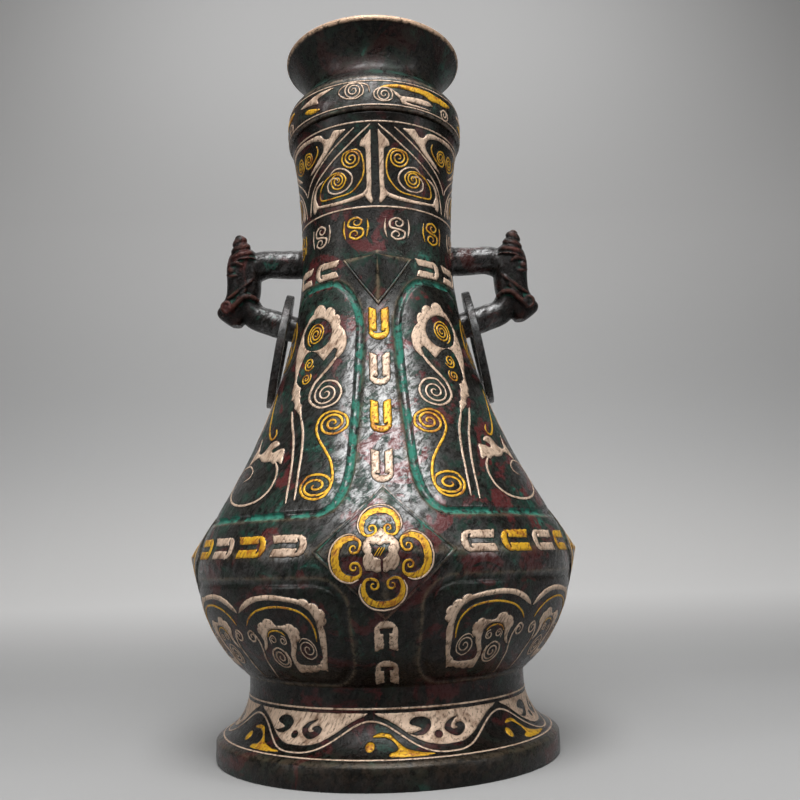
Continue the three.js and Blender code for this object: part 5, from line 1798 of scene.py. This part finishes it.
def curvature_masks(thing):
    """Marks ridges as edge and hollows with painted shade and their crust, from how the mesh bends.
    """
    mesh = thing.data
    count = len(mesh.vertices)

    def read(items, field, size, width, kind=float):
        values = np.zeros(size * width, kind)
        items.foreach_get(field, values)
        return values.reshape(-1, width)

    place = read(mesh.vertices, "co", count, 3)
    normal = read(mesh.vertices, "normal", count, 3)
    pairs = read(mesh.edges, "vertices", len(mesh.edges), 2, np.int32)
    degree = np.maximum(np.bincount(pairs.ravel(), minlength=count), 1)

    def spread(values):
        total = np.zeros_like(values)
        np.add.at(total, pairs[:, 0], values[pairs[:, 1]])
        np.add.at(total, pairs[:, 1], values[pairs[:, 0]])
        return total / degree.reshape((-1,) + (1,) * (values.ndim - 1))

    soft = place
    for _ in range(6):
        soft = spread(soft)
    bend = ((soft - place) * normal).sum(1)
    for _ in range(2):
        bend = spread(bend)
    size = np.percentile(np.abs(bend), 92)
    set_attribute(thing, "edge", np.clip(-bend / size - 0.25, 0, 1))
    set_attribute(thing, "groove", np.clip(bend / size - 0.2, 0, 1) * 0.5)


handle_bodies = [loop_body(), head_body()]
for side in (1, -1):
    handle_bodies.append(horn_body(side))
    handle_bodies += face_bodies(side)
handle_right = fused("handle_right_cast", handle_bodies, dark_bronze)
curvature_masks(handle_right)
handle_left = handle_right.copy()
handle_left.data = handle_right.data.copy()
handle_left.name = "handle_left_cast"
mirror = Matrix.Scale(-1, 4, (1, 0, 0))
handle_left.data.transform(mirror)
handle_left.data.flip_normals()
bpy.context.scene.collection.objects.link(handle_left)
for thing, node in ((handle_right, "handle_right"), (handle_left, "handle_left")):
    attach(thing, "vessel")
    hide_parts(node)

# The rings: a loose hoop of square bar that hangs on each lower arm and leans on the shoulder,
# forged and bent by hand, so its bar wavers a little and its corners are rubbed grey.
RING_RADIUS = 25.0
RING_HOLE_RADIUS = 18.0
RING_THICKNESS = 3.3
RING_LEAN = 10.6
RING_TURN = 7.0
ring_bronze = bronze_material(
    "grey bronze of the rings", bump=0.8, Dark=(0.004, 0.004, 0.0045, 1),
    Light=(0.013, 0.013, 0.013, 1), Worn=(0.07, 0.07, 0.068, 1), Green_Amount=0.1,
    Maroon_Amount=0.1, Bloom_Amount=0.15, Polish_Amount=0.35)


def ring_mesh(side, sense):
    low, high = (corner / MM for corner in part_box(f"ring_{side}"))
    centre = np.array((low + high) / 2)
    lean = math.radians(RING_LEAN)
    turn_in = math.radians(RING_TURN)
    along = np.array([sense * math.sin(turn_in), math.cos(turn_in), 0])
    away = np.array([sense * math.cos(turn_in), -math.sin(turn_in), 0])
    normal = away * math.cos(lean) + np.array([0, 0, math.sin(lean)])
    down = away * math.sin(lean) - np.array([0, 0, math.cos(lean)])
    half_bar = (RING_RADIUS - RING_HOLE_RADIUS) / 2
    half_thickness = RING_THICKNESS / 2
    corner = 0.45
    section = []
    for cx, cy, start in ((1, 1, 0), (-1, 1, 90), (-1, -1, 180), (1, -1, 270)):
        for t in np.radians(start + np.array([0, 30, 60, 90])):
            section.append((
                cx * (half_bar - corner) + corner * math.cos(t),
                cy * (half_thickness - corner) + corner * math.sin(t)))
    section = np.array(section)
    count = 220
    rows = []
    for k in range(count):
        turn = 2 * math.pi * k / count
        waver = 1 - 0.02 * (0.5 + 0.5 * math.sin(5 * turn + 1.1)) - 0.012 * math.sin(13 * turn) ** 2
        out = down * math.cos(turn) + along * math.sin(turn)
        middle = centre + out * (RING_RADIUS + RING_HOLE_RADIUS) / 2
        rows.append(
            middle + out * section[:, 0:1] * waver + normal * section[:, 1:2] * waver)
    points = np.concatenate(rows)
    size = len(section)
    k = np.arange(count)[:, None]
    s = np.arange(size)[None, :]
    here = k * size + s
    beside = k * size + (s + 1) % size
    ahead = ((k + 1) % count) * size
    faces = np.stack([here, beside, ahead + (s + 1) % size, ahead + s], -1).reshape(-1, 4)
    if sense < 0:
        faces = faces[:, ::-1]
    thing = make_object(f"ring_{side}_hoop", points, faces, [ring_bronze])
    rubbed = np.tile([0.5, 0.9, 0.9, 0.5] * 4, count) * 0.5
    set_attribute(thing, "edge", rubbed)
    set_attribute(thing, "groove", np.zeros(len(points)))
    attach(thing, f"ring_{side}")
    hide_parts(f"ring_{side}")


ring_mesh("right", 1)
ring_mesh("left", -1)

# The stage: a pale sheet that runs along the floor and curves up behind the pot, soft lamps
# over and beside it, and the camera where the photographer stood. Lengths here are metres.
CAMERA_PLACE = (0.0, -0.3640, 0.0746)
CAMERA_FORWARD = (0.0226, 0.9830, 0.1820)
CAMERA_UP = (0.0238, -0.18252, 0.98289)
FOCAL_SHARE = 857.7 / 800
SHEET_HALF_WIDTH = 9.0
SHEET_CURVE = 1.1
SHEET_BACK = 1.3
ROOM_LIGHT = (0.07, 0.0686, 0.0665, 1)


def grey(level):
    return level, level, level, 1


def sheet_material():
    material = bpy.data.materials.new("pale sheet")
    material.use_nodes = True
    tree = material.node_tree
    shader = tree.nodes["Principled BSDF"]
    place = tree.nodes.new("ShaderNodeTexCoord").outputs["Object"]
    apart = add_node(tree, "ShaderNodeSeparateXYZ", values={"Vector": place}).outputs

    # Grey on the floor and paler up the wall, a painted light gradient, and painted shade on the
    # floor between the pot and the camera, which the metal mirrors
    cloud = times(tree, noise(tree, place, 1.6, 2.0), 0.12)
    low = plus(tree, ramp(tree, apart["Z"], -0.01, 0.045), cloud, clamp=True)
    color = blend(tree, low, grey(0.31), (0.64, 0.635, 0.63, 1))
    color = blend(tree, ramp(tree, apart["Z"], 0.06, 0.26), color, grey(0.59))
    color = blend(tree, ramp(tree, apart["Z"], 0.3, 0.8), color, (0.93, 0.925, 0.92, 1))
    color = blend(tree, ramp(tree, apart["Y"], -0.085, -0.4), color, grey(0.1))

    # Only what the camera sees and what the metal mirrors is so pale; it lights the pot less
    path = tree.nodes.new("ShaderNodeLightPath").outputs
    seen = plus(tree, path["Is Camera Ray"], path["Is Glossy Ray"], clamp=True)
    color = blend(tree, seen, grey(0.11), color)

    # Far from the pot the sheet turns black and glows with the tone of the room: a painted glow
    outward = math_node(tree, "ABSOLUTE", apart["X"], 0.0)
    aside = ramp(tree, outward, 1.1, 0.2)
    away = math_node(tree, "MAXIMUM", minus(tree, outward, 0.7), times(tree, apart["Y"], -1.0))
    far = ramp(tree, away, 0.5, 1.6)
    color = blend(tree, far, color, grey(0))
    tree.links.new(color, shader.inputs["Base Color"])
    # The upper wall glows paler where the camera and the metal see it: painted light, no lamp
    lit_wall = times(tree, times(tree, ramp(tree, apart["Z"], 0.6, 1.3), aside), seen)
    glow = blend(tree, lit_wall, grey(0), grey(0.22))
    glow = blend(tree, far, glow, ROOM_LIGHT)
    tree.links.new(glow, shader.inputs["Emission Color"])
    shader.inputs["Emission Strength"].default_value = 1.0
    shader.inputs["Roughness"].default_value = 0.9
    shader.inputs["Specular IOR Level"].default_value = 0.1
    return material


def sheet_mesh():
    turn = np.linspace(0, math.pi / 2, 25)
    profile = [(-3.0, 0.0), (-1.0, 0.0), (-0.4, 0.0)]
    profile += [
        (SHEET_BACK + SHEET_CURVE * math.sin(t) - SHEET_CURVE,
         SHEET_CURVE - SHEET_CURVE * math.cos(t)) for t in turn]
    profile.append((SHEET_BACK, 2.2))
    across = np.linspace(-SHEET_HALF_WIDTH, SHEET_HALF_WIDTH, 9)
    points = [[(x / MM, y / MM, z / MM) for x in across] for y, z in profile]
    faces = grid_faces(len(profile), len(across), closed=False)
    return make_object("sheet", np.array(points).reshape(-1, 3), faces, [sheet_material()])


sheet_mesh()


def soft_lamp(name, place, target, width, depth, power):
    """Rectangular lamp that faces its target, its power in watts."""
    data = bpy.data.lights.new(name, "AREA")
    data.shape = "RECTANGLE"
    data.size = width
    data.size_y = depth
    data.energy = power
    lamp = bpy.data.objects.new(name, data)
    lamp.location = place
    aim = Vector(target) - lamp.location
    lamp.rotation_euler = aim.to_track_quat("-Z", "Y").to_euler()
    bpy.context.scene.collection.objects.link(lamp)


soft_lamp("lamp_above", (0.0, -0.45, 0.95), (0, 0, 0.1), 0.6, 0.75, 13.0)
soft_lamp("lamp_front", (-0.15, -1.0, 0.72), (0, 0, 0.12), 0.9, 0.12, 1.2)
soft_lamp("lamp_left", (-0.95, -0.6, 0.5), (0, 0, 0.15), 0.2, 0.6, 2.8)
soft_lamp("lamp_right", (0.95, -0.55, 0.5), (0, 0, 0.15), 0.2, 0.6, 2.3)
soft_lamp("lamp_behind", (0.0, 0.6, 1.15), (0, 0, 0.15), 0.8, 0.3, 2.0)

world = bpy.data.worlds.new("soft room")
world.use_nodes = True
background = world.node_tree.nodes["Background"]
background.inputs["Color"].default_value = ROOM_LIGHT
background.inputs["Strength"].default_value = 1.0
bpy.context.scene.world = world

camera_data = bpy.data.cameras.new("camera")
camera_data.sensor_width = 36.0
camera_data.lens = 36.0 * FOCAL_SHARE
camera_data.clip_start = 0.01
camera = bpy.data.objects.new("camera", camera_data)
forward = Vector(CAMERA_FORWARD).normalized()
up = Vector(CAMERA_UP)
right = forward.cross(up).normalized()
up = right.cross(forward)
camera.matrix_world = Matrix((
    (right.x, up.x, -forward.x, CAMERA_PLACE[0]),
    (right.y, up.y, -forward.y, CAMERA_PLACE[1]),
    (right.z, up.z, -forward.z, CAMERA_PLACE[2]),
    (0, 0, 0, 1),
))
bpy.context.scene.collection.objects.link(camera)
bpy.context.scene.camera = camera

scene = bpy.context.scene
scene.view_settings.view_transform = "Standard"
